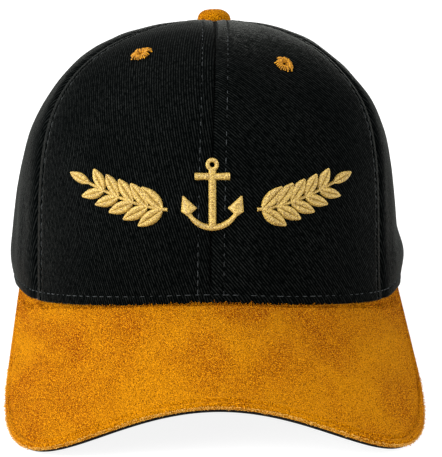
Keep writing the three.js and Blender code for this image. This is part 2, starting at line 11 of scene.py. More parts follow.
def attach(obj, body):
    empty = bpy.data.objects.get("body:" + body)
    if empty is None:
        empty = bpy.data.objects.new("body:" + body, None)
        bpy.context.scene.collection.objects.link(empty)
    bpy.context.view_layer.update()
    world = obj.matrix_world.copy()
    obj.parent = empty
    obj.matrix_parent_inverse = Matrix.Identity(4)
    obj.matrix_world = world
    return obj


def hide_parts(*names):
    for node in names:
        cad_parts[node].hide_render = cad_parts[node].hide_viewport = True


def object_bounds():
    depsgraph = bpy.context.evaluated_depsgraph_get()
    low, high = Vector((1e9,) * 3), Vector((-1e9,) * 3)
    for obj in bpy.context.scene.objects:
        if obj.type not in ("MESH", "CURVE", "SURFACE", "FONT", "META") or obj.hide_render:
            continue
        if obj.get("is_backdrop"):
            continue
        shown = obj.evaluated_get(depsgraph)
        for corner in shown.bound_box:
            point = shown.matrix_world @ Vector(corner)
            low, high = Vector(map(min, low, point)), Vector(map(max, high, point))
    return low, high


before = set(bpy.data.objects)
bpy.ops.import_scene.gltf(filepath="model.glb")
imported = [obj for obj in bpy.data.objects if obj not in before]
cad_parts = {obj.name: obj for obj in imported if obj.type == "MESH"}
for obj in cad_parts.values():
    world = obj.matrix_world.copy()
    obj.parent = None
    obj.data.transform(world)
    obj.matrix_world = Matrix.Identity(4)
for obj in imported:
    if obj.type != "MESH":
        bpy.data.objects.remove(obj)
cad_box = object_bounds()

bl_info = {
    "name": "Captain's Cap",
    "version": (1, 0, 0),
    "blender": (4, 5, 0),
    "location": "View3D > Sidebar > Cap",
    "description": "Dresses the packed cap: twill crown, suede peak, stitching, emblem and stage",
    "category": "Add Mesh",
}

# The form is worked in millimetres on the level cap, front towards -Y, and to_world lays it down.
MM = 0.001
REST_TILT = math.radians(-12.689)
REST_SHIFT = np.array([-0.4347, 29.2946, 21.4331])

CROWN_HALF_WIDTH = 82.0
CROWN_FRONT = 97.0
CROWN_BACK = 103.0
CROWN_HEIGHT = 111.0
FRONT_WALL = 1.8
REAR_WALL = 1.2
FRONT_SEAM = 62.5
BACK_SEAM = 121.0
SEAM_DIP = 0.9
SEAM_DIP_REACH = 4.5
HEM_TUCK_HEIGHT = 7.0
HEM_DIP = 3.7
TOP_TILT = 4.0
TOP_HOLE = 3.0
TOP_ASIDE = 2.5
HEM_ASIDE = -0.7
GAP = 0.3

PEAK_END = 84.0
PEAK_SPREAD = 88.4
PEAK_ASIDE = 1.4
PEAK_CORNER_LEFT = 4.3
PEAK_CORNER_RIGHT = 3.9
PEAK_REACH = 60.0
PEAK_FALL = 33.5
PEAK_ARCH = 31.5
PEAK_SIDE = 0.44
PEAK_CAMBER = 1.2
PEAK_BOARD = 2.6
PEAK_LINING = 1.1

BUTTON_RADIUS = 7.1
BUTTON_HEIGHT = 4.6
EYELET_RADIUS = 4.7
EYELET_HOLE = 1.1

BAND_HEIGHT = 30.0
BAND_WALL = 1.2
OPENING_HALF_WIDTH = 45.0
OPENING_HEIGHT = 55.0
STRAP_HEIGHT = 22.0
STRAP_WALL = 1.2
STRAP_TUCK = 9.0
STRAP_PAST_CENTRE = 24.0
STRAP_TIP = 0.55
STRAP_RISE_START = 5.0
STRAP_RISE = 11.0
RIM_SETBACK = 1.0

ANCHOR_HEIGHT = 29.0
LAUREL_START = 18.0
LAUREL_LENGTH = 37.0
LAUREL_PAIRS = 5
LEAF_LENGTH = 12.5
LEAF_SLANT = 0.16
THREAD_WIDTH = 0.62
EMBLEM_LEVEL = 43.5

# azimuth, side power, top power, left bulge, right bulge
SECTIONS = np.array([
    (0, 3.1, 2.5, 0, 0),
    (31, 3.1, 2.4, 0.012, 0.006),
    (63, 4.8, 2.05, 0, -0.012),
    (92, 2.5, 2.25, 0.024, -0.004),
    (121, 2.3, 2.2, 0.006, 0.006),
    (150, 2.2, 2.2, 0.018, 0.018),
    (180, 2.2, 2.2, 0, 0),
])

# azimuth, share of HEM_DIP
HEM = np.array([(0, 0), (25, 0.45), (50, 0.92), (65, 1), (78, 0.4), (105, 0), (180, 0)], float)

# azimuth, level, azimuth reach, level reach, depth
FOLDS = (
    (-92, 0.78, 16, 0.07, 0.03),
    (80, 0.85, 22, 0.09, 0.04),
    (-100, 0.34, 5, 0.3, 0.012),
    (98, 0.38, 5, 0.3, 0.012),
    (-94, 0.1, 20, 0.1, -0.014),
    (92, 0.11, 18, 0.08, -0.034),
)

# Distance of the topstitch rows from the seams
CENTRE_ROW = 5.3
FRONT_ROW = 6.0
BACK_ROW = 2.3

# For each panel of the right half: azimuths of its edges, wall, height of its small folds,
# distance of the topstitch row from each edge, depth and reach of the crease at each edge, and
# the azimuth and level of its eyelet on the left and right
PANELS = {
    "front": {"edges": (0, FRONT_SEAM), "wall": FRONT_WALL, "folds": 0.12,
              "rows": (CENTRE_ROW, FRONT_ROW), "creases": ((0.9, 0.6), (1.8, 0.9)),
              "left": (-35, 0.88), "right": (31, 0.845)},
    "side": {"edges": (FRONT_SEAM, BACK_SEAM), "wall": REAR_WALL, "folds": 0.45,
             "rows": (0.0, BACK_ROW), "creases": ((1.8, 2.0), (0.6, 0.5)),
             "left": (-96, 0.84), "right": (96, 0.84)},
    "back": {"edges": (BACK_SEAM, 180), "wall": REAR_WALL, "folds": 0.12,
             "rows": (BACK_ROW, CENTRE_ROW), "creases": ((0.6, 0.5), (0.6, 0.5)),
             "left": (-150, 0.85), "right": (150, 0.85)},
}

# Angle of the twill lines from level, seen from outside, and how much wider they are spread
GRAIN = {
    "front_left": (110, 1.0), "front_right": (-48, 1.1), "side_left": (74, 1.2),
    "side_right": (-76, 1.2), "back_left": (70, 1.2), "back_right": (-58, 1.2),
}


def read_table(table, column, at):
    """Smooth curve through one column of a table, level at both ends."""
    keys, values = table[:, 0], table[:, column]
    slopes = np.zeros(len(keys))
    slopes[1:-1] = (values[2:] - values[:-2]) / (keys[2:] - keys[:-2])
    i = np.clip(np.searchsorted(keys, at, side="right") - 1, 0, len(keys) - 2)
    span = keys[i + 1] - keys[i]
    t = np.clip((at - keys[i]) / span, 0, 1)
    return ((2 * t**3 - 3 * t**2 + 1) * values[i] + (t**3 - 2 * t**2 + t) * span * slopes[i]
            + (3 * t**2 - 2 * t**3) * values[i + 1] + (t**3 - t**2) * span * slopes[i + 1])


def smooth_step(value, low, high):
    t = np.clip((value - low) / (high - low), 0, 1)
    return t * t * (3 - 2 * t)


def hump(value, centre, reach):
    return np.exp(-((value - centre) / reach)**2)


def side_power(azimuth):
    return read_table(SECTIONS, 1, np.abs(azimuth))


def top_power(azimuth):
    return read_table(SECTIONS, 2, np.abs(azimuth))


def hem_level(azimuth):
    return -HEM_DIP * read_table(HEM, 1, np.abs(azimuth))


def plan(azimuth):
    a = np.radians(azimuth)
    depth = np.where(np.abs(azimuth) <= 90, CROWN_FRONT, CROWN_BACK)
    return CROWN_HALF_WIDTH * np.sin(a), -depth * np.cos(a)


def crown_base(azimuth, rise):
    """Point of the crown's smooth form. rise runs from 0 at the hem to a quarter turn on top."""
    azimuth, rise = np.broadcast_arrays(np.asarray(azimuth, float), np.asarray(rise, float))
    left, right = (read_table(SECTIONS, column, np.abs(azimuth)) for column in (3, 4))
    bulge = np.where(azimuth < 0, left, right)
    foot_x, foot_y = plan(azimuth)
    inward = np.maximum(np.cos(rise), 0)**(2 / top_power(azimuth))
    upward = np.maximum(np.sin(rise), 0)**(2 / side_power(azimuth))
    height = CROWN_HEIGHT * upward
    swell = bulge * (1 - np.exp(-height / HEM_TUCK_HEIGHT)) * (1 - upward**3)
    for at, level, azimuth_reach, level_reach, depth in FOLDS:
        swell = swell - depth * hump(azimuth, at, azimuth_reach) * hump(upward, level, level_reach)
    spread = inward * (1 + swell * CROWN_HALF_WIDTH / np.hypot(foot_x, foot_y))
    flank = inward * np.sin(np.radians(azimuth))**2
    aside = (HEM_ASIDE + (TOP_ASIDE - HEM_ASIDE) * upward**1.8) * (1 - flank)
    x, y = foot_x * spread + aside, foot_y * spread
    lean = math.tan(math.radians(TOP_TILT)) * y * (1 - inward)**2
    return np.stack([x, y, height + hem_level(azimuth) * (1 - upward) - lean], axis=-1)


def running_length(points):
    """Length along a path, or along every column of a grid, up to each of its points."""
    steps = np.linalg.norm(np.diff(points, axis=0), axis=-1)
    return np.concatenate([np.zeros((1, *steps.shape[1:])), np.cumsum(steps, axis=0)])


def unit(vectors):
    return vectors / np.maximum(np.linalg.norm(vectors, axis=-1, keepdims=True), 1e-12)


def crown_normal(azimuth, rise):
    low = np.maximum(rise - 0.004, 0.0005)
    high = np.minimum(rise + 0.004, math.pi / 2 - 0.0005)
    along = crown_base(azimuth + 0.2, rise) - crown_base(azimuth - 0.2, rise)
    up = crown_base(azimuth, high) - crown_base(azimuth, low)
    return unit(np.cross(along, up))


def crown_point(azimuth, rise, out=0.0):
    azimuth, rise, out = np.broadcast_arrays(azimuth, rise, out)
    return crown_base(azimuth, rise) + crown_normal(azimuth, rise) * out[..., None]


def crown_row(azimuth, rise, out):
    """Path and normals of a row sewn on the crown."""
    return crown_point(azimuth, rise, out), crown_normal(azimuth, rise)


def rise_at_level(azimuth, level):
    return np.arcsin(np.minimum(level, 1)**(side_power(azimuth) / 2))


def rim_point(azimuth, height, out):
    """Point at a height above the hem, off the crown's form by out."""
    return crown_point(azimuth, rise_at_level(azimuth, height / CROWN_HEIGHT), out)


def measure_cloth():
    """For every degree round the head, the cloth's length from hem to top and how far up and
    in it has come at each share of that length."""
    nodes = np.arange(-182, 183)
    top = np.arccos((TOP_HOLE / np.hypot(*plan(nodes)))**(top_power(nodes) / 2))
    fine, shares = 240, 400
    rises = top[:, None] * (np.arange(fine + 1) / fine)**2
    lengths = running_length(crown_base(nodes[:, None], rises).swapaxes(0, 1)).T
    even = np.stack([np.interp(np.linspace(0, row[-1], shares + 1), row, rise)
                     for row, rise in zip(lengths, rises)])
    upward = np.sin(even)**(2 / side_power(nodes)[:, None])
    inward = np.cos(even)**(2 / top_power(nodes)[:, None])
    return nodes, lengths[:, -1], upward, inward


CLOTH_NODES, CLOTH_LENGTHS, CLOTH_UPWARD, CLOTH_INWARD = measure_cloth()


def cloth_length(azimuth):
    return np.interp(azimuth, CLOTH_NODES, CLOTH_LENGTHS)


def rise_along(azimuth, along):
    """The rise reached after a length of cloth up from the hem."""
    azimuth, along = np.broadcast_arrays(np.asarray(azimuth, float), np.asarray(along, float))
    shares = CLOTH_UPWARD.shape[1] - 1
    place = azimuth - CLOTH_NODES[0]
    i = np.clip(place.astype(int), 0, len(CLOTH_NODES) - 2)
    s = np.clip(along / cloth_length(azimuth), 0, 1) * shares
    j = np.clip(s.astype(int), 0, shares - 1)
    a, b = place - i, s - j

    def between(table):
        near = table[i, j] * (1 - b) + table[i, j + 1] * b
        far = table[i + 1, j] * (1 - b) + table[i + 1, j + 1] * b
        return near * (1 - a) + far * a

    upward = between(CLOTH_UPWARD)
    from_side = np.arcsin(np.clip(upward, 0, 1)**(side_power(azimuth) / 2))
    inward = np.clip(between(CLOTH_INWARD), 0, 1)
    from_top = np.arccos(inward**(top_power(azimuth) / 2))
    return np.where(upward < 0.75, from_side, from_top)


def degree_width(azimuth, rise):
    """Millimetres of cloth in one degree of azimuth."""
    step = crown_base(azimuth + 0.5, rise) - crown_base(azimuth - 0.5, rise)
    return np.linalg.norm(step, axis=-1)


def turn_to_world(vectors):
    c, s = math.cos(REST_TILT), math.sin(REST_TILT)
    x, y, z = vectors[..., 0], vectors[..., 1], vectors[..., 2]
    return np.stack([x, y * c - z * s, y * s + z * c], axis=-1)


def to_world(points):
    """Tips the level cap back to its resting pose, in metres."""
    return (turn_to_world(points) + REST_SHIFT) * MM


def cloth_noise(points, size, seed=0.0):
    """Soft noise from -1 to 1 with lumps of a size in millimetres."""
    flat = np.asarray(points, float).reshape(-1, 3) / size + seed
    values = [noise.noise(Vector(p)) for p in flat.tolist()]
    return np.array(values).reshape(np.shape(points)[:-1])


def distance_to(points, path):
    """Distance of each point from a densely sampled path."""
    tree = kdtree.KDTree(len(path))
    for k, p in enumerate(path.tolist()):
        tree.insert(p, k)
    tree.balance()
    flat = np.asarray(points, float).reshape(-1, 3)
    return np.array([tree.find(p)[2] for p in flat.tolist()]).reshape(np.shape(points)[:-1])


def rounding(distance, radius):
    """How far a rounded edge falls away at a distance from it."""
    near = np.clip(radius - distance, 0, radius)
    return radius - np.sqrt(radius * radius - near * near)


def closed_wall(name, outer, inner, flat=None, keep=None):
    """Mesh object of the closed wall between two grids of points, or of the cells that keep
    says. flat holds the cloth's own plane coordinates in metres, which become the UV map."""
    columns, rows = outer.shape[:2]
    layer = columns * rows
    at = np.arange(layer).reshape(columns, rows)
    if keep is None:
        keep = np.ones((columns - 1, rows - 1), dtype=bool)
    whole = np.zeros((columns + 1, rows + 1), dtype=bool)
    whole[1:-1, 1:-1] = keep
    a, b, c, d = at[:-1, :-1][keep], at[1:, :-1][keep], at[1:, 1:][keep], at[:-1, 1:][keep]
    quads = [np.stack([a, b, c, d], axis=-1), np.stack([d, c, b, a], axis=-1) + layer]

    def close(first, second, here, beyond):
        rim = here & ~beyond
        near, far = first[rim], second[rim]
        quads.append(np.stack([near + layer, far + layer, far, near], axis=-1))

    inside = whole[1:-1, 1:-1]
    close(at[:-1, :-1], at[1:, :-1], inside, whole[1:-1, :-2])
    close(at[1:, 1:], at[:-1, 1:], inside, whole[1:-1, 2:])
    close(at[:-1, 1:], at[:-1, :-1], inside, whole[:-2, 1:-1])
    close(at[1:, :-1], at[1:, 1:], inside, whole[2:, 1:-1])
    faces = np.concatenate(quads)
    points = np.concatenate([outer.reshape(-1, 3), inner.reshape(-1, 3)])
    a, b, c, d = (points[faces[:, k]] for k in range(4))
    volume = np.einsum("ij,ij->i", a, np.cross(b, c) + np.cross(c, d)).sum()
    if volume < 0:
        faces = faces[:, ::-1]
    piece = mesh_piece(name, to_world(points), faces)
    if flat is not None:
        set_uv(piece, np.concatenate([flat.reshape(-1, 2), flat.reshape(-1, 2)]))
    merge_doubles(piece)
    return piece


def mesh_piece(name, points, faces, edges=()):
    mesh = bpy.data.meshes.new(name)
    mesh.from_pydata(points.tolist(), np.array(edges).tolist(), np.array(faces).tolist())
    mesh.update()
    if len(faces):
        mesh.polygons.foreach_set("use_smooth", [True] * len(mesh.polygons))
    piece = bpy.data.objects.new(name, mesh)
    bpy.context.scene.collection.objects.link(piece)
    return piece


def set_uv(piece, flat):
    mesh = piece.data
    corners = np.empty(len(mesh.loops), dtype=int)
    mesh.loops.foreach_get("vertex_index", corners)
    layer = mesh.uv_layers.new(name="cloth")
    layer.data.foreach_set("uv", flat[corners].astype(np.float32).ravel())


@contextmanager
def editing(piece):
    work = bmesh.new()
    work.from_mesh(piece.data)
    yield work
    work.to_mesh(piece.data)
    work.free()


def merge_doubles(piece, distance=2e-6):
    with editing(piece) as work:
        bmesh.ops.remove_doubles(work, verts=work.verts, dist=distance)
        bmesh.ops.dissolve_degenerate(work, edges=work.edges, dist=1e-7)
        loose = [v for v in work.verts if not v.link_faces]
        bmesh.ops.delete(work, geom=loose, context="VERTS")


def close_ends(piece):
    """Fills a mesh's open ends and turns its faces outward."""
    with editing(piece) as work:
        bmesh.ops.holes_fill(work, edges=[e for e in work.edges if e.is_boundary])
        bmesh.ops.recalc_face_normals(work, faces=work.faces)


def grid_faces(columns, rows):
    at = np.arange(columns * rows).reshape(columns, rows)
    return np.stack([at[:-1, :-1], at[1:, :-1], at[1:, 1:], at[:-1, 1:]], axis=-1).reshape(-1, 4)


def press_flat(piece):
    """Cloth that would reach below the floor lies flat on it."""
    points = np.empty(len(piece.data.vertices) * 3, dtype=np.float32)
    piece.data.vertices.foreach_get("co", points)
    points[2::3] = np.maximum(points[2::3], 0)
    piece.data.vertices.foreach_set("co", points)
    piece.data.update()


def finish_piece(piece, material, slot, *replaced):
    press_flat(piece)
    piece.data.materials.clear()
    piece.data.materials.append(material)
    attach(piece, "root")
    if replaced:
        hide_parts(*replaced)


# Node trees

def linear(colour):
    """Linear colour of an sRGB hex value."""
    parts = [int(colour[k:k + 2], 16) / 255 for k in (1, 3, 5)]
    return [p / 12.92 if p <= 0.04045 else ((p + 0.055) / 1.055)**2.4 for p in parts]


class Nodes:
    """Adds nodes to a tree. Each call gives back the new node's output socket."""

    def __init__(self, tree):
        self.tree = tree

    def add(self, kind, inputs=None, output=0, **settings):
        """inputs maps sockets to values or to the sockets that feed them."""
        node = self.tree.nodes.new(kind)
        for key, value in settings.items():
            setattr(node, key, value)
        for key, value in (inputs or {}).items():
            socket = node.inputs[key]
            if isinstance(value, bpy.types.NodeSocket):
                self.tree.links.new(value, socket)
            else:
                socket.default_value = (*value, 1.0) if socket.type == "RGBA" else value
        return node.outputs[output] if len(node.outputs) else None

    def maths(self, operation, *values):
        return self.add("ShaderNodeMath", dict(enumerate(values)), operation=operation)

    def times(self, first, second):
        return self.maths("MULTIPLY", first, second)

    def vector(self, **parts):
        return self.add("ShaderNodeCombineXYZ", parts)

    def random(self, least, most, seed):
        return self.add("FunctionNodeRandomValue", {2: least, 3: most, "Seed": seed}, 1)

    def place(self):
        return self.add("ShaderNodeTexCoord", output="Object")

    def noise(self, place, size, detail, roughness=0.5, distortion=0.0):
        """Noise with lumps of a size in metres."""
        return self.add("ShaderNodeTexNoise", {
            "Vector": place, "Scale": 1 / size, "Detail": detail, "Roughness": roughness,
            "Distortion": distortion})

    def bands(self, place, pitch, distortion, detail, scale=1.0, roughness=0.5, axis="X"):
        """Soft bands at a pitch in metres."""
        return self.add("ShaderNodeTexWave", {
            "Vector": place, "Scale": math.tau / (20 * pitch), "Distortion": distortion,
            "Detail": detail, "Detail Scale": scale, "Detail Roughness": roughness},
            "Color", bands_direction=axis)

    def remap(self, value, low, high, to_low=0.0, to_high=1.0):
        return self.add("ShaderNodeMapRange", {
            "Value": value, "From Min": low, "From Max": high, "To Min": to_low, "To Max": to_high})

    def mix(self, share, first, second):
        return self.add("ShaderNodeMix", {0: share, 6: first, 7: second}, 2, data_type="RGBA")

    def surface(self, inputs):
        shader = self.add("ShaderNodeBsdfPrincipled", inputs)
        self.add("ShaderNodeOutputMaterial", {"Surface": shader})

    def cloth_surface(self, colour, roughness, specular, sheen, bump):
        """sheen is its weight, roughness and tint, bump its height, strength and distance."""
        normal = self.add("ShaderNodeBump", dict(zip(("Height", "Strength", "Distance"), bump)))
        self.surface({
            "Base Color": colour, "Roughness": roughness, "Specular IOR Level": specular,
            "Normal": normal, "Sheen Weight": sheen[0], "Sheen Roughness": sheen[1],
            "Sheen Tint": sheen[2]})


# Materials

def material_named(name, make, *values):
    """The material of that name, made on first use."""
    material = bpy.data.materials.get(name)
    if not material:
        material = bpy.data.materials.new(name)
        material.use_nodes = True
        material.node_tree.nodes.clear()
        make(Nodes(material.node_tree), *values)
    return material


def twill(nodes, dark, light, pitch):
    """Cotton twill, brushed: raised diagonal lines of yarn in a soft matt black. Grazing light
    catches the fuzz of the cotton, so it turns grey towards its outlines. Real twill has about
    two lines to a millimetre; here they are drawn further apart, so they show."""
    cloth = nodes.add("ShaderNodeUVMap", uv_map="cloth")
    place = nodes.place()
    lines = nodes.bands(cloth, pitch, distortion=1.0, detail=2.0, scale=2.2, roughness=0.6)
    along = nodes.add("ShaderNodeMapping", {
        "Vector": cloth, "Scale": (1 / pitch, 0.45 / pitch, 1.0)})
    slubs = nodes.noise(along, size=1.0, detail=3.0, roughness=0.7)
    fuzz = nodes.noise(place, size=0.0006, detail=3.0, roughness=0.7)
    wear = nodes.noise(place, size=0.02, detail=3.0, roughness=0.55)
    raised = nodes.times(lines, nodes.remap(slubs, 0.35, 0.65, 0.4))
    lint = nodes.remap(fuzz, 0.66, 0.84, 0.0, 0.8)
    bright = nodes.maths("MAXIMUM", nodes.remap(raised, 0.36, 1.0), lint)
    shade = nodes.times(bright, nodes.remap(wear, 0.3, 0.7, 0.55))
    height = nodes.maths("MULTIPLY_ADD", fuzz, 0.3, raised)
    nodes.cloth_surface(nodes.mix(shade, dark, light), 1.0, 0.02,
                        (0.28, 0.21, linear("#cfd2cb")), (height, 1.0, 0.00012))


def lining(nodes, dark, light):
    """Plain black cotton: a small even weave, matt and a little duller than the twill."""
    place = nodes.place()
    pitch = 0.0009
    warp, weft = (nodes.bands(place, pitch, distortion=1.5, detail=1.0, axis=axis) for axis in "XZ")
    weave = nodes.times(warp, weft)
    shade = nodes.times(weave, nodes.noise(place, size=pitch, detail=3.0))
    nodes.cloth_surface(nodes.mix(shade, dark, light), 0.95, 0.15,
                        (0.12, 0.5, linear("#c8ccca")), (weave, 0.7, 0.00018))


def suede(nodes, dark, mid, light, tip):
    """Split suede, dyed tan: a short nap whose fibres lie different ways, and no gloss. Its soft
    light and dark patches are painted light and shade of the nap, laid at random by a noise, and
    its fine salt-and-pepper grain of fibre tips is partly the fibres' own grain and partly painted
    shade between them and painted highlight on the tips."""
    place = nodes.place()
    stroked = nodes.add("ShaderNodeMapping", {
        "Vector": place, "Rotation": (0.0, 0.0, 0.6), "Scale": (1.0, 0.45, 0.7)})
    patches = nodes.noise(stroked, size=0.022, detail=3.0, distortion=0.6)
    fibres = nodes.noise(stroked, size=0.0004, detail=0.0)
    ends = nodes.noise(place, size=0.00042, detail=0.0)
    # Painted light and shade: the patches mix the nap's shaded tan and its lit tan, the fibres add
    # painted shade between them and the ends a painted highlight on the tips.
    nap = nodes.mix(nodes.remap(patches, 0.36, 0.64), mid, light)
    shaded = nodes.mix(nodes.remap(fibres, 0.3, 0.5, 0.75, 0.0), nap, dark)
    colour = nodes.mix(nodes.remap(ends, 0.5, 0.66), shaded, tip)
    height = nodes.maths("ADD", fibres, ends)
    nodes.cloth_surface(colour, 1.0, 0.02, (0.26, 0.25, linear("#ffb848")), (height, 1.0, 0.0004))


def thread(nodes, dark, light, gloss):
    """Sewing or embroidery thread: twisted shiny filaments. A noise mixes the dark tone, painted
    shade between the strands, with the light tone, partly the thread's own colour and partly
    painted highlight."""
    strands = nodes.noise(nodes.place(), size=0.0006, detail=2.0)
    # Painted shade and highlight: the strand noise mixes the thread's shade tone and its lit tone.
    colour = nodes.mix(nodes.remap(strands, 0.3, 0.64), dark, light)
    nodes.cloth_surface(colour, 0.75 - 0.4 * gloss, 0.25 + 0.35 * gloss,
                        (0.15 + 0.2 * gloss, 0.4, light), (strands, 0.4, 0.00012))


def black_twill():
    look = bpy.context.scene.cap_crown
    return material_named("brushed_cotton_twill", twill, look.cloth_dark, look.cloth_light,
                          look.twill_pitch)


def black_lining():
    return material_named("plain_cotton_lining", lining, linear("#0b0b0c"), linear("#232325"))


def tan_suede():
    look = bpy.context.scene.cap_peak
    return material_named("tan_split_suede", suede, look.suede_grain_and_shade, look.suede_mid,
                          look.suede_painted_light, look.suede_tips_painted_highlight)


# A paler copy of the suede: painted highlight on the nap along the rim.
def painted_lit_nap():
    colours = (linear(colour) for colour in ("#a8640c", "#e69c22", "#f4ba4c", "#ffd27a"))
    return material_named("suede_fibres_painted_highlight", suede, *colours)


def grey_thread():
    # The darker grey is painted shade between the strands, the lighter grey the thread with painted
    # highlight.
    return material_named("grey_polyester_thread", thread, linear("#131415"),
                          linear("#363b3c"), 0.1)


# Stitches and threads, by Geometry Nodes

# Levels of the lowest and highest stitches of a row, in thread radii off the cloth
STITCH_LEVELS = (-1.6, 0.4)
LONGEST_STITCH = 1.12


def stored_normal(nodes):
    return nodes.add("GeometryNodeInputNamedAttribute", {"Name": "up"}, data_type="FLOAT_VECTOR")


def align(nodes, **settings):
    inputs = {name: settings.pop(name) for name in ("Rotation", "Vector") if name in settings}
    return nodes.add("FunctionNodeAlignRotationToVector", inputs, **settings)


def tube(nodes, line, sides, radius):
    section = nodes.add("GeometryNodeCurvePrimitiveCircle", {"Resolution": sides, "Radius": radius})
    return nodes.add("GeometryNodeCurveToMesh", {
        "Curve": line, "Profile Curve": section, "Fill Caps": True})


def bent_thread(nodes, ends, radius, resolution, sides):
    """A short thread bent over from its start to its end."""
    inputs = dict(zip(("Start", "Middle", "End"), ends), Resolution=resolution)
    return tube(nodes, nodes.add("GeometryNodeCurveQuadraticBezier", inputs), sides, radius)


def copies(nodes, points, piece, rotation, **scale):
    return nodes.add("GeometryNodeInstanceOnPoints", {
        "Points": points, "Instance": piece, "Rotation": rotation, **scale})


def topstitching(nodes, given):
    """Stitches at a pitch along rows whose points carry the surface normal in up."""
    radius, uneven = given["Thread Radius"], given["Unevenness"]
    rows = nodes.add("GeometryNodeMeshToCurve", {"Mesh": given["Rows"]})
    points = nodes.add("GeometryNodeCurveToPoints", {
        "Curve": rows, "Length": given["Pitch"]}, mode="LENGTH")
    up = stored_normal(nodes)
    sunk = nodes.times(nodes.random(*STITCH_LEVELS, given["Seed"]), radius)
    down = nodes.add("ShaderNodeVectorMath", {0: up, "Scale": sunk}, operation="SCALE")
    settled = nodes.add("GeometryNodeSetPosition", {"Geometry": points, "Offset": down})
    half = nodes.times(given["Stitch Length"], 0.5)
    low = nodes.times(radius, -1.6)
    stitch = bent_thread(nodes, (
        nodes.vector(X=nodes.times(half, -1.0), Z=low),
        nodes.vector(Z=nodes.times(radius, 2.4)),
        nodes.vector(X=half, Z=low)), radius, 4, 5)
    size = nodes.random(nodes.maths("SUBTRACT", 1.0, uneven), nodes.maths("ADD", 1.0, uneven),
                        given["Seed"])
    along = align(nodes, Vector=points.node.outputs["Tangent"], axis="X")
    upright = align(nodes, Rotation=along, Vector=up, axis="Z", pivot_axis="X")
    return copies(nodes, settled, stitch, upright, Scale=size)


def satin_threads(nodes, given):
    """Every polyline becomes one thread."""
    lines = nodes.add("GeometryNodeMeshToCurve", {"Mesh": given["Lines"]})
    return tube(nodes, lines, given["Sides"], given["Thread Radius"])


def buttonhole_stitches(nodes, given):
    """A ring of stitches round the hole at each point, over the edge and out on the cloth."""
    outer, height = given["Outer Radius"], given["Height"]
    stitch = bent_thread(nodes, (
        nodes.vector(X=given["Hole Radius"], Z=nodes.times(height, -0.8)),
        nodes.vector(X=nodes.times(outer, 0.42), Z=nodes.times(height, 1.7)),
        nodes.vector(X=outer)), given["Thread Radius"], 7, 6)
    centre = nodes.add("GeometryNodePoints", {"Count": given["Stitches"]})
    step = nodes.maths("DIVIDE", math.tau, given["Stitches"])
    turn = nodes.times(nodes.add("GeometryNodeInputIndex"), step)
    facing = nodes.add("FunctionNodeEulerToRotation", {"Euler": nodes.vector(Z=turn)})
    least = nodes.maths("SUBTRACT", 1.0, given["Unevenness"])
    size = nodes.vector(X=nodes.random(least, LONGEST_STITCH, given["Seed"]), Y=1.0, Z=1.0)
    ring = copies(nodes, centre, stitch, facing, Scale=size)
    turned = align(nodes, Vector=stored_normal(nodes), axis="Z")
    return copies(nodes, given["Centres"], ring, turned)


# For each tree: the geometry it takes, the function that fills it, and its other values
TREES = {
    "Topstitching": ("Rows", topstitching, {
        "Pitch": 0.0034, "Stitch Length": 0.0025, "Thread Radius": 0.0002, "Unevenness": 0.25,
        "Seed": 3}),
    "Satin Threads": ("Lines", satin_threads, {"Thread Radius": 0.00023, "Sides": 5}),
    "Buttonhole Stitches": ("Centres", buttonhole_stitches, {
        "Stitches": 30, "Hole Radius": 0.0011, "Outer Radius": 0.0045, "Height": 0.0016,
        "Thread Radius": 0.0003, "Unevenness": 0.3, "Seed": 5}),
}


def tree_named(name):
    """The Geometry Nodes tree of that name, made on first use."""
    if name in bpy.data.node_groups:
        return bpy.data.node_groups[name]
    geometry, fill, values = TREES[name]
    tree = bpy.data.node_groups.new(name, "GeometryNodeTree")

    def new_socket(label, kind, way="INPUT"):
        return tree.interface.new_socket(label, in_out=way, socket_type=f"NodeSocket{kind}")

    new_socket(geometry, "Geometry")
    for label, value in values.items():
        new_socket(label, "Int" if isinstance(value, int) else "Float").default_value = value
    new_socket("Thread", "Material")
    new_socket("Pieces", "Geometry", "OUTPUT")
    nodes = Nodes(tree)
    given = nodes.add("NodeGroupInput").node.outputs
    real = nodes.add("GeometryNodeRealizeInstances", {"Geometry": fill(nodes, given)})
    smooth = nodes.add("GeometryNodeSetShadeSmooth", {"Geometry": real})
    done = nodes.add("GeometryNodeSetMaterial", {"Geometry": smooth, "Material": given["Thread"]})
    nodes.add("NodeGroupOutput", {0: done})
    return tree


def grow(piece, tree_name, values):
    """Runs a Geometry Nodes tree on a piece and keeps the result as a plain mesh."""
    modifier = piece.modifiers.new(tree_name, "NODES")
    modifier.node_group = tree_named(tree_name)
    for item in modifier.node_group.interface.items_tree:
        if item.in_out == "INPUT" and item.name in values:
            modifier[item.identifier] = values[item.name]
    graph = bpy.context.evaluated_depsgraph_get()
    mesh = bpy.data.meshes.new_from_object(
        piece.evaluated_get(graph), preserve_all_data_layers=True, depsgraph=graph)
    piece.modifiers.clear()
    mesh.name = piece.name
    piece.data = mesh


def store_normals(piece, normals):
    layer = piece.data.attributes.new("up", "FLOAT_VECTOR", "POINT")
    layer.data.foreach_set("vector", turn_to_world(normals).astype(np.float32).ravel())


def lines_piece(name, paths, normals=None):
    """Object whose mesh is bare polylines, with the surface normals in the attribute up."""
    ends = np.cumsum([len(path) for path in paths])
    first = np.setdiff1d(np.arange(ends[-1]), ends - 1)
    edges = np.stack([first, first + 1], axis=-1)
    piece = mesh_piece(name, to_world(np.concatenate(paths)), [], edges)
    if normals is not None:
        store_normals(piece, np.concatenate(normals))
    return piece


# Settings

def colour_setting(name, description, colour):
    return FloatVectorProperty(name=name, description=description, subtype="COLOR",
                               default=linear(colour), min=0, max=1)


def length_setting(name, description, default, low, high):
    return FloatProperty(name=name, description=description, unit="LENGTH",
                         default=default, min=low, max=high)


def count_setting(name, description, default, high):
    return IntProperty(name=name, description=description, default=default, min=1, max=high)


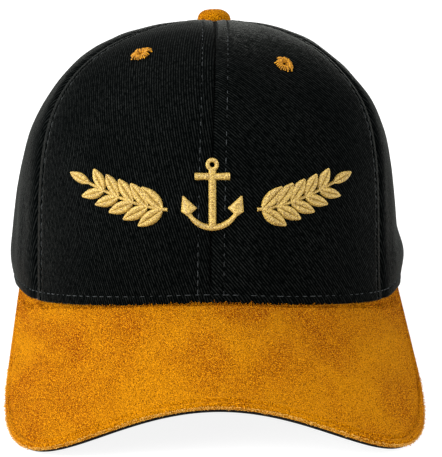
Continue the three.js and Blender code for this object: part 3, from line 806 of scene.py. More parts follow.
def share_setting(name, description, default):
    return FloatProperty(name=name, description=description, default=default, min=0, max=5)


def power_setting(name, description, default):
    return FloatProperty(name=name, description=description, subtype="POWER",
                         default=default, min=0, max=500)


def turn_setting(name, description, degrees):
    return FloatProperty(name=name, description=description, subtype="ANGLE",
                         default=math.radians(degrees))


class CrownSettings(bpy.types.PropertyGroup):
    """Cloth of the crown"""
    cloth_dark: colour_setting("Cloth", "Black of the twill between its lines", "#000101")
    cloth_light: colour_setting("Cloth Lines", "Grey of the raised twill lines", "#212322")
    twill_pitch: length_setting(
        "Twill Pitch", "Distance between two twill lines", 0.001, 0.0003, 0.003)


class StitchSettings(bpy.types.PropertyGroup):
    """Topstitching of the crown and the arch"""
    pitch: length_setting("Pitch", "Distance from stitch to stitch", 0.0038, 0.001, 0.01)
    length: length_setting(
        "Stitch Length", "Length of thread seen in each stitch", 0.0022, 0.0005, 0.01)
    radius: length_setting("Thread Radius", "Radius of the sewing thread", 0.00016, 0.00005, 0.001)


class PeakSettings(bpy.types.PropertyGroup):
    """Suede of the peak and button"""
    # Painted light and shade of the nap: Suede Shade is grain with painted shade between the
    # fibres, Suede and Suede Light are the tans of nap in shade and in light, Fibre Tips a painted
    # highlight.
    suede_grain_and_shade: colour_setting("Suede Shade", "Brown between the fibres of the nap", "#482001")
    suede_mid: colour_setting("Suede", "Tan of the nap stroked away from the light", "#7a3801")
    suede_painted_light: colour_setting("Suede Light", "Tan of the nap that leans to the light", "#a26502")
    suede_tips_painted_highlight: colour_setting("Fibre Tips", "Pale yellow of the lit tips of the nap", "#cc830a")
    hem_fibres: count_setting("Hem Fibres", "Fibres of the nap over the hem", 1500, 3000)
    rim_fibres: count_setting("Rim Fibres", "Fibres of the nap along the rim", 5000, 7000)
    stitch_rows: count_setting(
        "Underside Rows", "Rows of stitching on the peak's underside", 6, 12)


class EyeletSettings(bpy.types.PropertyGroup):
    """Stitched eyelets"""
    stitches: count_setting("Stitches", "Stitches round each eyelet", 26, 80)
    # Thread Shade is painted shade between the strands; Thread is the amber with painted highlight.
    thread_painted_shade: colour_setting("Thread Shade", "Amber between the strands", "#5e3404")
    thread_light: colour_setting("Thread", "Amber of the eyelet thread", "#d09008")


class EmblemSettings(bpy.types.PropertyGroup):
    """Raised thread emblem"""
    thread_pitch: length_setting(
        "Thread Pitch", "Distance between two threads", 0.00036, 0.0002, 0.002)
    crest: length_setting("Height", "Height of the raised stitching", 0.0018, 0.0003, 0.004)
    # Gold Shade is painted shade between the strands; Gold is the thread's gold with painted
    # highlight.
    gold_painted_shade: colour_setting("Gold Shade", "Gold between the strands", "#74521c")
    gold_light: colour_setting("Gold", "Gold of the embroidery thread", "#d6b862")


class StageSettings(bpy.types.PropertyGroup):
    """Floor, light and camera"""
    floor_grey: share_setting("Floor", "Grey of the plain floor", 0.3)
    floor_glow: share_setting("Floor Glow", "Light of the table, which is lit from below", 0.88)
    sky: share_setting("Surround Light", "Brightness of the even light from all round", 0.62)
    key: power_setting("Key Light", "Power of the large soft light at the upper left", 35.0)
    fill: power_setting("Fill Light", "Power of the soft light at the right", 13.0)
    rim: power_setting("Rim Light", "Power of the soft light behind the left side", 14.0)
    camera_turn: turn_setting("Camera Azimuth", "Turn of the camera round the level cap", -1.3)
    camera_rise: turn_setting("Camera Elevation", "Rise of the camera over the level cap", 5.0)
    camera_distance: length_setting("Camera Distance", "Distance from the cap", 1.5, 0.2, 10)


# Crown

SEAM_COLUMNS = np.array([0, 0.1, 0.24, 0.42, 0.65, 0.95, 1.3, 1.7, 2.0, 2.3, 2.6, 3.0, 3.6, 4.2,
                         4.7, 5.0, 5.3, 5.65, 6.0, 6.35, 6.9, 7.8, 9.0])
HEM_ROWS = np.array([0, 0.08, 0.22, 0.42, 0.65, 0.9, 1.3, 1.8, 2.3, 2.7, 3.0, 3.3, 3.8, 4.6, 5.6,
                     6.8])
CLOTH_ROWS = 112
WIDE_COLUMNS = 26
HEM_STITCH = 3.1
HEM_EDGE = 0.5
HEM_SETTLE = 0.4
SEAM_OVERLAP = 0.03
HEM_OVERLAP = 0.05
HOLE_MARGIN = 0.7
ARCH_MARGIN = 0.3
BACK_FROM = 30
FAR_OFF = 100.0
REFINEMENTS = 12


def row_lengths(azimuth):
    """Lengths of cloth up from the hem at which the rows of a panel lie."""
    azimuth = np.asarray(azimuth, float)
    share = np.arange(1, CLOTH_ROWS + 1) / CLOTH_ROWS
    low = np.broadcast_to(HEM_ROWS, azimuth.shape + HEM_ROWS.shape)
    rest = HEM_ROWS[-1] + (cloth_length(azimuth)[..., None] - HEM_ROWS[-1]) * share
    return np.concatenate([low, rest], axis=-1)


def seam_relief(distance, stitch_at, crease, along, seed):
    """Relief of the cloth beside a seam: its sharp crease, the turned edge under the cloth and
    the topstitch row with its puckers."""
    relief = -crease[0] * (0.1 + 0.9 * smooth_step(along, 1, 9)) * hump(distance, 0, crease[1])
    if not stitch_at:
        return relief
    edge = smooth_step(distance, 0.3, 1.1) * (1 - smooth_step(distance, stitch_at - 0.5, stitch_at))
    pucker = np.sin(along * math.tau / 3.8 + 2.5 * np.sin(along / 9.0 + seed))
    relief = relief + 0.22 * edge - 0.26 * hump(distance, stitch_at, 0.5)
    return relief + 0.07 * pucker * hump(distance, stitch_at - 0.6, 1.6)


def panel_surface(low, high, rows, creases, folds, seed):
    """Grids over a panel: azimuth, rise, length of cloth up from the hem, pull of the seams,
    relief of the outer face and distance across the panel."""
    low_lengths = row_lengths(np.array([low]))[0]
    high_lengths = row_lengths(np.array([high]))[0]
    low_width = degree_width(low, rise_along(low, low_lengths))
    high_width = degree_width(high, rise_along(high, high_lengths))
    width = (high - low) * (low_width + high_width) / 2
    squeeze = np.minimum(1, 0.42 * width / SEAM_COLUMNS[-1])
    edge = -SEAM_OVERLAP - HEM_OVERLAP * (1 - smooth_step(low_lengths, 4, 8))
    from_low = low + (SEAM_COLUMNS[:, None] * squeeze + edge) / low_width
    from_high = high - (SEAM_COLUMNS[::-1, None] * squeeze + edge) / high_width
    share = (np.arange(1, WIDE_COLUMNS) / WIDE_COLUMNS)[:, None]
    middle = from_low[-1] * (1 - share) + from_high[0] * share
    azimuth = np.concatenate([from_low, middle, from_high])
    along = np.take_along_axis(
        row_lengths(azimuth), np.arange(azimuth.shape[1])[None, :, None], axis=2)[..., 0]
    rise = rise_along(azimuth, along)
    to_low = (azimuth - low) * low_width
    to_high = (high - azimuth) * high_width
    pull = -SEAM_DIP * (hump(to_low, 0, SEAM_DIP_REACH) + hump(to_high, 0, SEAM_DIP_REACH))
    relief = (seam_relief(to_low, rows[0], creases[0], along, seed)
              + seam_relief(to_high, rows[1], creases[1], along, seed + 2))
    base = crown_base(azimuth, rise)
    inner_part = smooth_step(np.minimum(to_low, to_high), 2, 12) * smooth_step(along, 2, 14)
    inner_part = inner_part * smooth_step(arch_distance(base), 3, 16)
    relief = relief + inner_part * (
        0.5 * cloth_noise(base * (1, 1, 0.55), 32, seed) + 0.16 * cloth_noise(base, 11, seed + 7)
        + folds * cloth_noise(base * (1, 1, 0.22), 9, seed + 3))
    relief = relief + 0.18 * (1 - smooth_step(along, 2.6, 3.4))
    relief = relief - 0.22 * hump(along, HEM_STITCH, 0.4)
    relief = relief + 0.05 * np.sin(azimuth * 1.35) * hump(along, HEM_STITCH, 1.5)
    relief = relief * smooth_step(along[:, -1:] - along, 4.5, 8)
    across = running_length(base)
    return azimuth, rise, along, pull, relief, across - across[len(across) // 2]


def grain_coordinates(across, along, angle, spread=1.0):
    """Plane coordinates in metres, turned so that the twill lines run along V, and spread
    wider where the cloth is seen at a slant."""
    c, s = math.cos(math.radians(angle)), math.sin(math.radians(angle))
    return np.stack([along * c - across * s, across * c + along * s], axis=-1) * MM / spread


def at_crown(x, z, behind=False):
    """Azimuth and rise of the crown's point at a place in front or back view."""
    x, z = np.broadcast_arrays(np.asarray(x, float), np.asarray(z, float))
    around = np.degrees(np.arcsin(np.clip(x / CROWN_HALF_WIDTH, -0.99, 0.99)))
    azimuth = 180 - around if behind else around
    azimuth = np.where(azimuth > 180, azimuth - 360, azimuth)
    level = np.clip(z / CROWN_HEIGHT, 0.002, 0.98)
    for _ in range(REFINEMENTS):
        rise = rise_at_level(azimuth, level)
        here = crown_base(azimuth, rise)
        ahead, back = crown_base(azimuth + 0.1, rise), crown_base(azimuth - 0.1, rise)
        slope = (ahead[..., 0] - back[..., 0]) / 0.2
        azimuth = azimuth + np.clip((x - here[..., 0]) / slope, -5, 5)
        azimuth = np.where(azimuth > 180, azimuth - 360, azimuth)
        azimuth = np.where(azimuth < -180, azimuth + 360, azimuth)
        level = np.clip(level + (z - here[..., 2]) / CROWN_HEIGHT, 0.0, 0.99)
    return azimuth, rise_at_level(azimuth, level)


def eyelet_places():
    for name, panel in PANELS.items():
        for side in ("left", "right"):
            azimuth, level = panel[side]
            yield f"{name}_{side}", azimuth, rise_at_level(azimuth, level)


def arch_distance(points):
    """About how far a point of the back is from the arch over the strap, below 0 inside it."""
    level = np.hypot(points[..., 0] / OPENING_HALF_WIDTH, points[..., 2] / OPENING_HEIGHT)
    mean_radius = (OPENING_HALF_WIDTH + OPENING_HEIGHT) / 2
    return np.where(points[..., 1] > BACK_FROM, (level - 1) * mean_radius, FAR_OFF)


class CAP_OT_make_crown(bpy.types.Operator):
    """Make the six panels of the crown"""
    bl_idname = "cap.make_crown"
    bl_label = "Crown Panels"

    def execute(self, context):
        holes = {name: crown_point(azimuth, rise) for name, azimuth, rise in eyelet_places()}
        for number, (name, panel) in enumerate(PANELS.items()):
            for side, sign in (("left", -1), ("right", 1)):
                edges, rows, creases = panel["edges"], panel["rows"], panel["creases"]
                if sign < 0:
                    edges, rows, creases = (-edges[1], -edges[0]), rows[::-1], creases[::-1]
                seed = 3.7 * number + (11 if sign > 0 else 0)
                azimuth, rise, along, pull, relief, across = panel_surface(
                    *edges, rows, creases, panel["folds"], seed)
                fall = rounding(along, HEM_EDGE)
                outer = crown_point(azimuth, rise, pull + relief - fall)
                below = np.maximum(pull + np.minimum(relief + 0.5, 0) - panel["wall"],
                                   -FRONT_WALL - SEAM_DIP - 0.15)
                inner = crown_point(azimuth, rise, below + fall)
                for side_points in (outer, inner):
                    side_points[..., 2] -= HEM_SETTLE * (1 - smooth_step(along, 0, 3))
                key = f"{name}_{side}"
                flat = grain_coordinates(across, along, *GRAIN[key])
                cell = (outer[:-1, :-1] + outer[1:, 1:]) / 2
                keep = np.linalg.norm(cell - holes[key], axis=-1) > EYELET_HOLE + HOLE_MARGIN
                keep &= arch_distance(cell) > -ARCH_MARGIN
                piece = closed_wall(f"cloth_{key}", outer, inner, flat, keep)
                finish_piece(piece, black_twill(), "twill", f"panel_{key}")
        return {"FINISHED"}


ARCH_STITCH = 3.8
ARCH_GRAIN = 45

# Section of the folded edge round the arch: distance from the edge over the cloth, and height
ARCH_EDGE = np.array([
    (5.3, -0.35), (5.15, 0.1), (4.8, 0.3), (4.3, 0.36), (3.95, 0.2), (3.65, 0.2), (3.3, 0.4),
    (2.4, 0.5), (1.2, 0.52), (0.3, 0.46), (-0.35, 0.24), (-0.75, -0.15), (-0.9, -0.7),
    (-0.75, -1.25), (-0.35, -1.6), (0.3, -1.8), (1.6, -1.85), (3.4, -1.85), (4.9, -1.8),
    (5.3, -1.4)])


def arch_frame(count=181):
    """Points, normals and outward directions along the arch over the strap."""
    turns = np.linspace(0, math.pi, count)
    x, z = OPENING_HALF_WIDTH * np.cos(turns), OPENING_HEIGHT * np.sin(turns)
    points, normals = crown_row(*at_crown(x, z, behind=True), 0.0)
    tangents = unit(np.gradient(points, axis=0))
    outward = unit(np.cross(tangents, normals))
    centre = points.mean(axis=0)
    if ((points - centre) * outward).sum() < 0:
        outward = -outward
    return points, normals, outward


class CAP_OT_bind_arch(bpy.types.Operator):
    """Make the folded edge round the arch over the strap"""
    bl_idname = "cap.bind_arch"
    bl_label = "Arch Edge"

    def execute(self, context):
        points, normals, outward = arch_frame()
        section = np.concatenate([ARCH_EDGE, ARCH_EDGE[:1]])
        grid = (points[:, None] + outward[:, None] * section[None, :, :1]
                + normals[:, None] * section[None, :, 1:])
        faces = grid_faces(*grid.shape[:2])
        piece = mesh_piece("arch_edge", to_world(grid.reshape(-1, 3)), faces)
        along, girth = np.meshgrid(running_length(points), running_length(section), indexing="ij")
        set_uv(piece, grain_coordinates(along, girth, ARCH_GRAIN).reshape(-1, 2))
        merge_doubles(piece)
        close_ends(piece)
        finish_piece(piece, black_twill(), "twill")
        row = points + outward * ARCH_STITCH + normals * 0.25
        sew("stitches_arch", [(row, normals)], 12)
        return {"FINISHED"}


def row_beside(seam, distance, first, last, count=160):
    """Path and normals of a stitch row beside a seam, between two lengths up the cloth."""
    azimuth = np.full(count, float(seam))
    along = np.linspace(first, last, count)
    rise = rise_along(azimuth, along)
    azimuth = azimuth + distance / degree_width(azimuth, rise)
    rise = rise_along(azimuth, along)
    out = -SEAM_DIP * hump(abs(distance), 0, SEAM_DIP_REACH) - 0.16
    return crown_row(azimuth, rise, out)


def sew(name, rows, seed):
    """Sews stitches along rows on the cap, each given as its path and normals."""
    look = bpy.context.scene.cap_stitches
    piece = lines_piece(name, *zip(*rows))
    grow(piece, "Topstitching", {
        "Pitch": look.pitch, "Stitch Length": look.length, "Thread Radius": look.radius,
        "Seed": seed, "Thread": grey_thread()})
    finish_piece(piece, grey_thread(), "twill")


class CAP_OT_sew_crown(bpy.types.Operator):
    """Sew the topstitch rows along the seams and the hem"""
    bl_idname = "cap.sew_crown"
    bl_label = "Crown Topstitching"

    def execute(self, context):
        length = float(cloth_length(0.0))
        first, low = 4, OPENING_HEIGHT + 7
        last = float(cloth_length(180.0)) - 3.5
        both = (-1, 1)
        seams = {
            "centre": [row_beside(0, side * CENTRE_ROW, first, length - 3.5) for side in both],
            "front": [row_beside(side * FRONT_SEAM, -side * FRONT_ROW, first, length - 24)
                      for side in both],
            "back": [row_beside(side * BACK_SEAM, way * BACK_ROW, first, length - 20)
                     for side in both for way in both]
            + [row_beside(side * 180, -side * CENTRE_ROW, low, last) for side in both],
        }
        for number, (name, rows) in enumerate(seams.items()):
            sew(f"stitches_{name}", rows, number)
        end = 180 - math.degrees(math.asin(OPENING_HALF_WIDTH / CROWN_HALF_WIDTH)) - 2
        azimuth = np.linspace(-end, end, 400)
        rise = rise_along(azimuth, HEM_STITCH)
        sew("stitches_hem", [crown_row(azimuth, rise, -0.02)], 7)
        return {"FINISHED"}


# Peak

def peak_hem(across):
    azimuth = np.degrees(np.arcsin(across * math.sin(math.radians(PEAK_END))))
    x, y = plan(azimuth)
    inset = 1 - FRONT_WALL / 2 / np.hypot(x, y)
    return np.stack([x * inset, y * inset, hem_level(azimuth) - GAP], axis=-1)


def peak_front_line(across):
    arch = PEAK_ARCH * (1.28 * across**2 - 0.28 * across**4)
    forward = np.full(np.shape(across), -CROWN_FRONT - PEAK_REACH)
    return np.stack([PEAK_SPREAD * across + PEAK_ASIDE, forward, -PEAK_FALL - arch], axis=-1)


def peak_trim(across):
    corner = np.where(np.asarray(across) < 0, PEAK_CORNER_LEFT, PEAK_CORNER_RIGHT)
    return PEAK_SIDE + (1 - PEAK_SIDE) * np.maximum(0, 1 - np.abs(across)**corner)**0.38


def peak_base(across, out):
    across, out = np.broadcast_arrays(across, out)
    point = peak_hem(across) * (1 - out)[..., None] + peak_front_line(across) * out[..., None]
    point[..., 2] += PEAK_CAMBER * 4 * out * (1 - out) * (1 - across * across)
    return point


def peak_point(across, out, depth):
    across, out, depth = np.broadcast_arrays(across, out, depth)
    step = 0.004
    near = np.minimum(np.abs(across), 1 - step) * np.sign(across)
    sideways = peak_base(near + step, out) - peak_base(near - step, out)
    forward = peak_base(across, out + step) - peak_base(across, out - step)
    normal = unit(np.cross(forward, sideways))
    return peak_base(across, out) - normal * depth[..., None]


PEAK_COLUMNS = 220
PEAK_EDGE_ROWS = np.array([0, 0.06, 0.17, 0.33, 0.55, 0.8, 1.05, 1.3, 1.6, 2.0, 2.4, 2.8, 3.1,
                           3.4, 3.8, 4.3, 5.0, 5.8, 7.0])
PEAK_WIDE_ROWS = 44
OUTLINE_POINTS = 4001
FIBRE_RADIUS = 0.00011


def dense_at_ends(count):
    """Values from -1 to 1 that lie closer together towards both ends."""
    even = np.linspace(-1, 1, count)
    return np.sign(even) * (1 - (1 - np.abs(even))**2.6)


def peak_grid(inset):
    """Grid of across and out over the peak, and the distance of each point from its outline."""
    narrow, shorten = 1 - inset / PEAK_SPREAD, inset / PEAK_REACH
    across = dense_at_ends(PEAK_COLUMNS + 1)[:, None] * narrow
    trim = peak_trim(across / narrow) - shorten
    reach = np.linalg.norm(peak_front_line(across) - peak_hem(across), axis=-1)
    length = trim * reach
    squeeze = np.minimum(1, 0.4 * length / PEAK_EDGE_ROWS[-1])
    near = 1 - PEAK_EDGE_ROWS[None, ::-1] * squeeze / length
    share = np.arange(PEAK_WIDE_ROWS)[None, :] / PEAK_WIDE_ROWS
    out = np.concatenate([near[:, :1] * share, near], axis=1) * trim
    fine = dense_at_ends(OUTLINE_POINTS)
    front = peak_base(fine * narrow, peak_trim(fine) - shorten)
    sides = [peak_base(np.full(500, sign * narrow), np.linspace(0, PEAK_SIDE - shorten, 500))
             for sign in (-1.0, 1.0)]
    outline = np.concatenate([front, *sides])
    across = np.broadcast_to(across, out.shape)
    return across, out, distance_to(peak_base(across, out), outline)


def fibres_at(across, out, depth, lean, length, random):
    """Bent fibres, each from its root in the nap of the peak, leaning the given way."""
    root = peak_point(across, out, depth)
    stray = random.normal(0, 0.4, (2, *root.shape))
    long = (length * random.uniform(0.5, 1.2, len(root)))[:, None]
    middle = root + long * 0.55 * (lean + stray[0])
    tip = root + long * (lean + stray[0] + 0.6 * stray[1])
    return list(np.stack([root, middle, tip], axis=1))


def nap_fibres(hem_count, rim_count):
    """Fibres of the nap along the hem, where they lie over the black cloth, and along the rim."""
    random = np.random.default_rng(8)
    step = 0.004
    across = random.uniform(-0.985, 0.985, hem_count)
    slant = np.sqrt(1 - (across * math.sin(math.radians(PEAK_END)))**2)
    out = random.uniform(0.012, 0.03, hem_count) / np.maximum(slant, 0.2)
    upward = unit(peak_point(across, out, -1.0) - peak_point(across, out, 0.0))
    forward = unit(peak_base(across, out + step) - peak_base(across, out - step))
    hem = fibres_at(across, out, 0.1, unit(upward - 0.3 * forward), 0.8, random)

    fine = dense_at_ends(OUTLINE_POINTS)
    along = running_length(peak_base(fine, peak_trim(fine)))
    across = np.interp(random.uniform(0, along[-1], rim_count), along, fine)
    out = peak_trim(across) - 0.003
    sides = rim_count // 6
    across = np.concatenate([across, np.repeat([-0.997, 0.997], sides)])
    out = np.concatenate([out, random.uniform(0.0, PEAK_SIDE, 2 * sides)])
    away = unit((peak_base(across, out) - peak_base(np.array(0.0), np.array(0.35))) * (1, 1, 0.3))
    depth = random.uniform(0.2, 0.75, len(across)) * PEAK_BOARD
    return hem, fibres_at(across, out, depth, away, 0.5, random)


class CAP_OT_make_peak(bpy.types.Operator):
    """Make the peak's suede cover and its stitched underside"""
    bl_idname = "cap.make_peak"
    bl_label = "Peak"

    def execute(self, context):
        across, out, edge = peak_grid(0.0)
        base = peak_base(across, out)
        fall = rounding(edge, PEAK_BOARD / 2)
        crease = 0.65 + 0.5 * cloth_noise(base, 14, 4)
        relief = (0.24 * hump(edge, 1.7, 0.8) - 0.85 * hump(edge, 3.3, 0.6) * crease
                  + 0.25 * hump(edge, 4.6, 0.8) * crease)
        inside = smooth_step(edge, 1, 8)
        relief = relief + inside * (0.3 * cloth_noise(base, 26, 9) + 0.1 * cloth_noise(base, 9, 2))
        relief = relief + 0.05 * cloth_noise(base, 2.6, 5)
        outer = peak_point(across, out, fall - relief)
        inner = peak_point(across, out, PEAK_BOARD - fall)
        suede = closed_wall("suede_peak", outer, inner)
        finish_piece(suede, tan_suede(), "suede", "peak_suede")

        look = context.scene.cap_peak
        hem, rim = nap_fibres(look.hem_fibres, look.rim_fibres)
        # The rim's fibres take the paler suede, a painted highlight.
        for name, fibres, nap in (("hem", hem, tan_suede()), ("rim", rim, painted_lit_nap())):
            piece = lines_piece(f"suede_nap_{name}", fibres)
            grow(piece, "Satin Threads", {
                "Thread Radius": FIBRE_RADIUS, "Sides": 3, "Thread": nap})
            finish_piece(piece, nap, "suede")

        across, out, edge = peak_grid(0.5)
        fall = rounding(edge, PEAK_LINING / 2)
        grooves = sum(hump(edge, 4 + 7 * k, 0.8) for k in range(look.stitch_rows))
        top = PEAK_BOARD + GAP
        outer = peak_point(across, out, top + fall)
        inner = peak_point(across, out, top + PEAK_LINING - fall - 0.35 * grooves)
        lining = closed_wall("lined_peak_underside", outer, inner)
        finish_piece(lining, black_lining(), "lining", "peak_underside")
        return {"FINISHED"}


# Share of the radius and height of each ring under the button's edge
BUTTON_SKIRT = np.array([
    (1.0, -0.6), (0.985, -0.95), (0.9, -1.1), (0.6, -1.1), (0.3, -1.1), (0.12, -1.1)])


class CAP_OT_make_button(bpy.types.Operator):
    """Make the suede-covered button on top"""
    bl_idname = "cap.make_button"
    bl_label = "Button"

    def execute(self, context):
        turns = np.arange(97) * math.tau / 96
        rings = np.linspace(0, 1, 26)
        shares = np.concatenate([rings, BUTTON_SKIRT[:, 0]])
        heights = np.concatenate([(1 - rings**2.7)**0.5 * BUTTON_HEIGHT, BUTTON_SKIRT[:, 1]])
        heights[len(rings) - 1] = 0.25
        gather = np.clip((shares - 0.55) / 0.45, 0, 1)**2
        turns = turns[:, None]
        fold = 1 + 0.018 * gather * np.cos(turns * 11 + 0.6 * np.sin(3 * turns))
        radius = BUTTON_RADIUS * shares * fold
        dome = np.stack([radius * np.cos(turns), radius * np.sin(turns),
                         np.broadcast_to(heights, radius.shape)], axis=-1)
        dome = dome + (0.12 * cloth_noise(dome, 3.5, 1))[..., None] * (0, 0, 1)
        c, s = math.cos(math.radians(TOP_TILT)), math.sin(math.radians(TOP_TILT))
        tipped = np.stack([dome[..., 0], dome[..., 1] * c + dome[..., 2] * s,
                           dome[..., 2] * c - dome[..., 1] * s], axis=-1)
        tipped = tipped + (TOP_ASIDE, 0, CROWN_HEIGHT + GAP - SEAM_DIP / 2)
        faces = grid_faces(*tipped.shape[:2])[:, [0, 3, 2, 1]]
        piece = mesh_piece("suede_button", to_world(tipped.reshape(-1, 3)), faces)
        merge_doubles(piece, 5e-6)
        close_ends(piece)
        finish_piece(piece, tan_suede(), "suede", "button")
        return {"FINISHED"}


class CAP_OT_sew_eyelets(bpy.types.Operator):
    """Sew the six eyelets"""
    bl_idname = "cap.sew_eyelets"
    bl_label = "Eyelets"

    def execute(self, context):
        look = context.scene.cap_eyelets
        amber = material_named("amber_rayon_thread", thread, look.thread_painted_shade,
                               look.thread_light, 0.2)
        for number, (name, azimuth, rise) in enumerate(eyelet_places()):
            centre, normal = crown_row(azimuth, rise, 0.1)
            piece = mesh_piece(f"sewn_eyelet_{name}", to_world(centre[None, :]), [])
            store_normals(piece, normal[None, :])
            grow(piece, "Buttonhole Stitches", {
                "Stitches": look.stitches, "Hole Radius": (EYELET_HOLE + 0.15) * MM,
                "Outer Radius": (EYELET_RADIUS - 0.3) * MM, "Seed": number, "Thread": amber})
            finish_piece(piece, amber, "amber_thread", f"eyelet_{name}")
        return {"FINISHED"}


# Sweatband and strap

BAND_EDGE_ROWS = np.array([0, 0.07, 0.2, 0.38, 0.6, 1.0, 1.5, 1.9, 2.3, 3.0, 4.5])
STRAP_EDGE_ROWS = np.array([0, 0.07, 0.2, 0.38, 0.6, 1.0, 1.6, 2.2, 3.0, 4.5])
STRAP_GRAIN = 60


def rows_across(edge, span, count):
    """Distances of a band's rows from its edge, closer together at both edges."""
    middle = np.linspace(edge[-1], span - edge[-1], count)[1:-1]
    return np.concatenate([edge, middle, (span - edge)[::-1]])


def crown_wall_at(azimuth):
    share = smooth_step(np.abs(azimuth), FRONT_SEAM + 1, FRONT_SEAM + 10)
    return FRONT_WALL * (1 - share) + REAR_WALL * share


def azimuth_at_x(x):
    return 180 - np.degrees(np.arcsin(x / CROWN_HALF_WIDTH))


class CAP_OT_make_sweatband(bpy.types.Operator):
    """Make the sweatband inside the hem"""
    bl_idname = "cap.make_sweatband"
    bl_label = "Sweatband"

    def execute(self, context):
        end = float(azimuth_at_x(OPENING_HALF_WIDTH + STRAP_TUCK + 2 * GAP))
        azimuth = np.linspace(-end, end, 261)[:, None]
        span = BAND_HEIGHT - RIM_SETBACK
        distance = rows_across(BAND_EDGE_ROWS, span, 12)
        height = (RIM_SETBACK + distance)[None, :]
        azimuth, height = np.broadcast_arrays(azimuth, height)
        to_edge = np.minimum(distance, span - distance)[None, :]
        fall = rounding(to_edge, BAND_WALL / 2)
        back = -crown_wall_at(azimuth) - SEAM_DIP - GAP
        stitched = 0.25 * hump(to_edge, 1.9, 0.5)
        ripple = 0.25 * np.sin(azimuth * 0.9 + 1.5 * np.sin(azimuth * 0.21))
        ripple = ripple * smooth_step(to_edge, 1, 6)
        outer = rim_point(azimuth, height, back - fall)
        inner = rim_point(azimuth, height, back - BAND_WALL + fall + stitched + ripple * 0.5)
        piece = closed_wall("cotton_sweatband", outer, inner)
        finish_piece(piece, black_lining(), "lining", "sweatband")
        return {"FINISHED"}


class CAP_OT_make_strap(bpy.types.Operator):
    """Make the two tabs of the back strap"""
    bl_idname = "cap.make_strap"
    bl_label = "Strap"

    def execute(self, context):
        start = OPENING_HALF_WIDTH + STRAP_TUCK
        rows = rows_across(STRAP_EDGE_ROWS, STRAP_HEIGHT, 9)
        half_height = STRAP_HEIGHT / 2
        tip_start = -10
        tip = tip_start - (STRAP_PAST_CENTRE + tip_start) * np.linspace(0, 1, 28)**0.7
        columns = np.concatenate([np.linspace(start, tip_start, 66)[:-1], tip])
        for side, sign, lift in (("left", -1, 0.0), ("right", 1, STRAP_WALL + GAP)):
            x = columns[:, None]
            back = np.where(x > 0, azimuth_at_x(x), 360 - azimuth_at_x(-x))
            signed = np.where(back > 180, -sign * (360 - back), sign * back)
            to_end = np.maximum(0, half_height - (x + STRAP_PAST_CENTRE)) / half_height
            round_end = np.sqrt(np.maximum(0, 1 - to_end**2))
            half = half_height * (STRAP_TIP + (1 - STRAP_TIP) * round_end)
            height = RIM_SETBACK / 2 + half_height + half * (rows / half_height - 1)[None, :]
            signed = np.broadcast_to(signed, height.shape)
            free = smooth_step(
                OPENING_HALF_WIDTH - x, STRAP_RISE_START, STRAP_RISE_START + STRAP_RISE)
            to_edge = np.minimum(rows, STRAP_HEIGHT - rows)[None, :] * half / half_height
            to_edge = np.minimum(to_edge, x + STRAP_PAST_CENTRE)
            fall = rounding(to_edge, STRAP_WALL / 2)
            stitched = 0.12 * hump(to_edge, 2.2, 0.5)
            out = -REAR_WALL - SEAM_DIP - GAP + lift * free
            outer = rim_point(signed, height, out - fall - stitched)
            inner = rim_point(signed, height, out - STRAP_WALL + fall)
            along = np.broadcast_to(x, height.shape)
            flat = grain_coordinates(along, height, STRAP_GRAIN * sign)
            piece = closed_wall(f"strap_{side}", outer, inner, flat)
            finish_piece(piece, black_twill(), "twill", f"strap_tab_{side}")
        return {"FINISHED"}


# Emblem

def arc(centre_x, centre_y, radius, first, last, count=80):
    turns = np.linspace(first, last, count)
    return np.stack([centre_x + radius * np.cos(turns), centre_y + radius * np.sin(turns)], axis=-1)


def along_path(path, shares):
    """Points at shares of a plane path's length."""
    steps = running_length(path)
    at = np.asarray(shares) * steps[-1]
    return np.stack([np.interp(at, steps, path[:, k]) for k in (0, 1)], axis=-1)


def anchor_strokes():
    """Pairs of edges between which the anchor's threads are laid."""
    h = ANCHOR_HEIGHT
    shank = np.array([[(-0.05, -0.44), (-0.05, 0.34)], [(0.05, -0.44), (0.05, 0.34)]]) * h
    stock = np.array([[(-0.24, 0.2), (0.24, 0.2)], [(-0.24, 0.29), (0.24, 0.29)]]) * h
    strokes = [
        tuple(shank),
        tuple(stock),
        (arc(0, 0.41 * h, 0.04 * h, 0, math.tau), arc(0, 0.41 * h, 0.09 * h, 0, math.tau)),
        (arc(0, -0.05 * h, 0.37 * h, 1.12 * math.pi, 1.88 * math.pi),
         arc(0, -0.12 * h, 0.38 * h, 1.08 * math.pi, 1.92 * math.pi)),
    ]
    for sign in (-1, 1):
        inner = np.array([(0.41, -0.02), (0.22, -0.19), (0.34, -0.3)]) * h * (sign, 1)
        outer = np.array([(0.41, -0.02), (0.43, -0.24), (0.34, -0.3)]) * h * (sign, 1)
        strokes.append((inner, outer))
    return strokes


def stem_at(share):
    share = np.asarray(share, float)
    return np.stack([LAUREL_START + LAUREL_LENGTH * 0.86 * share,
                     LAUREL_LENGTH * (-0.17 + 0.26 * share**1.6)], axis=-1)


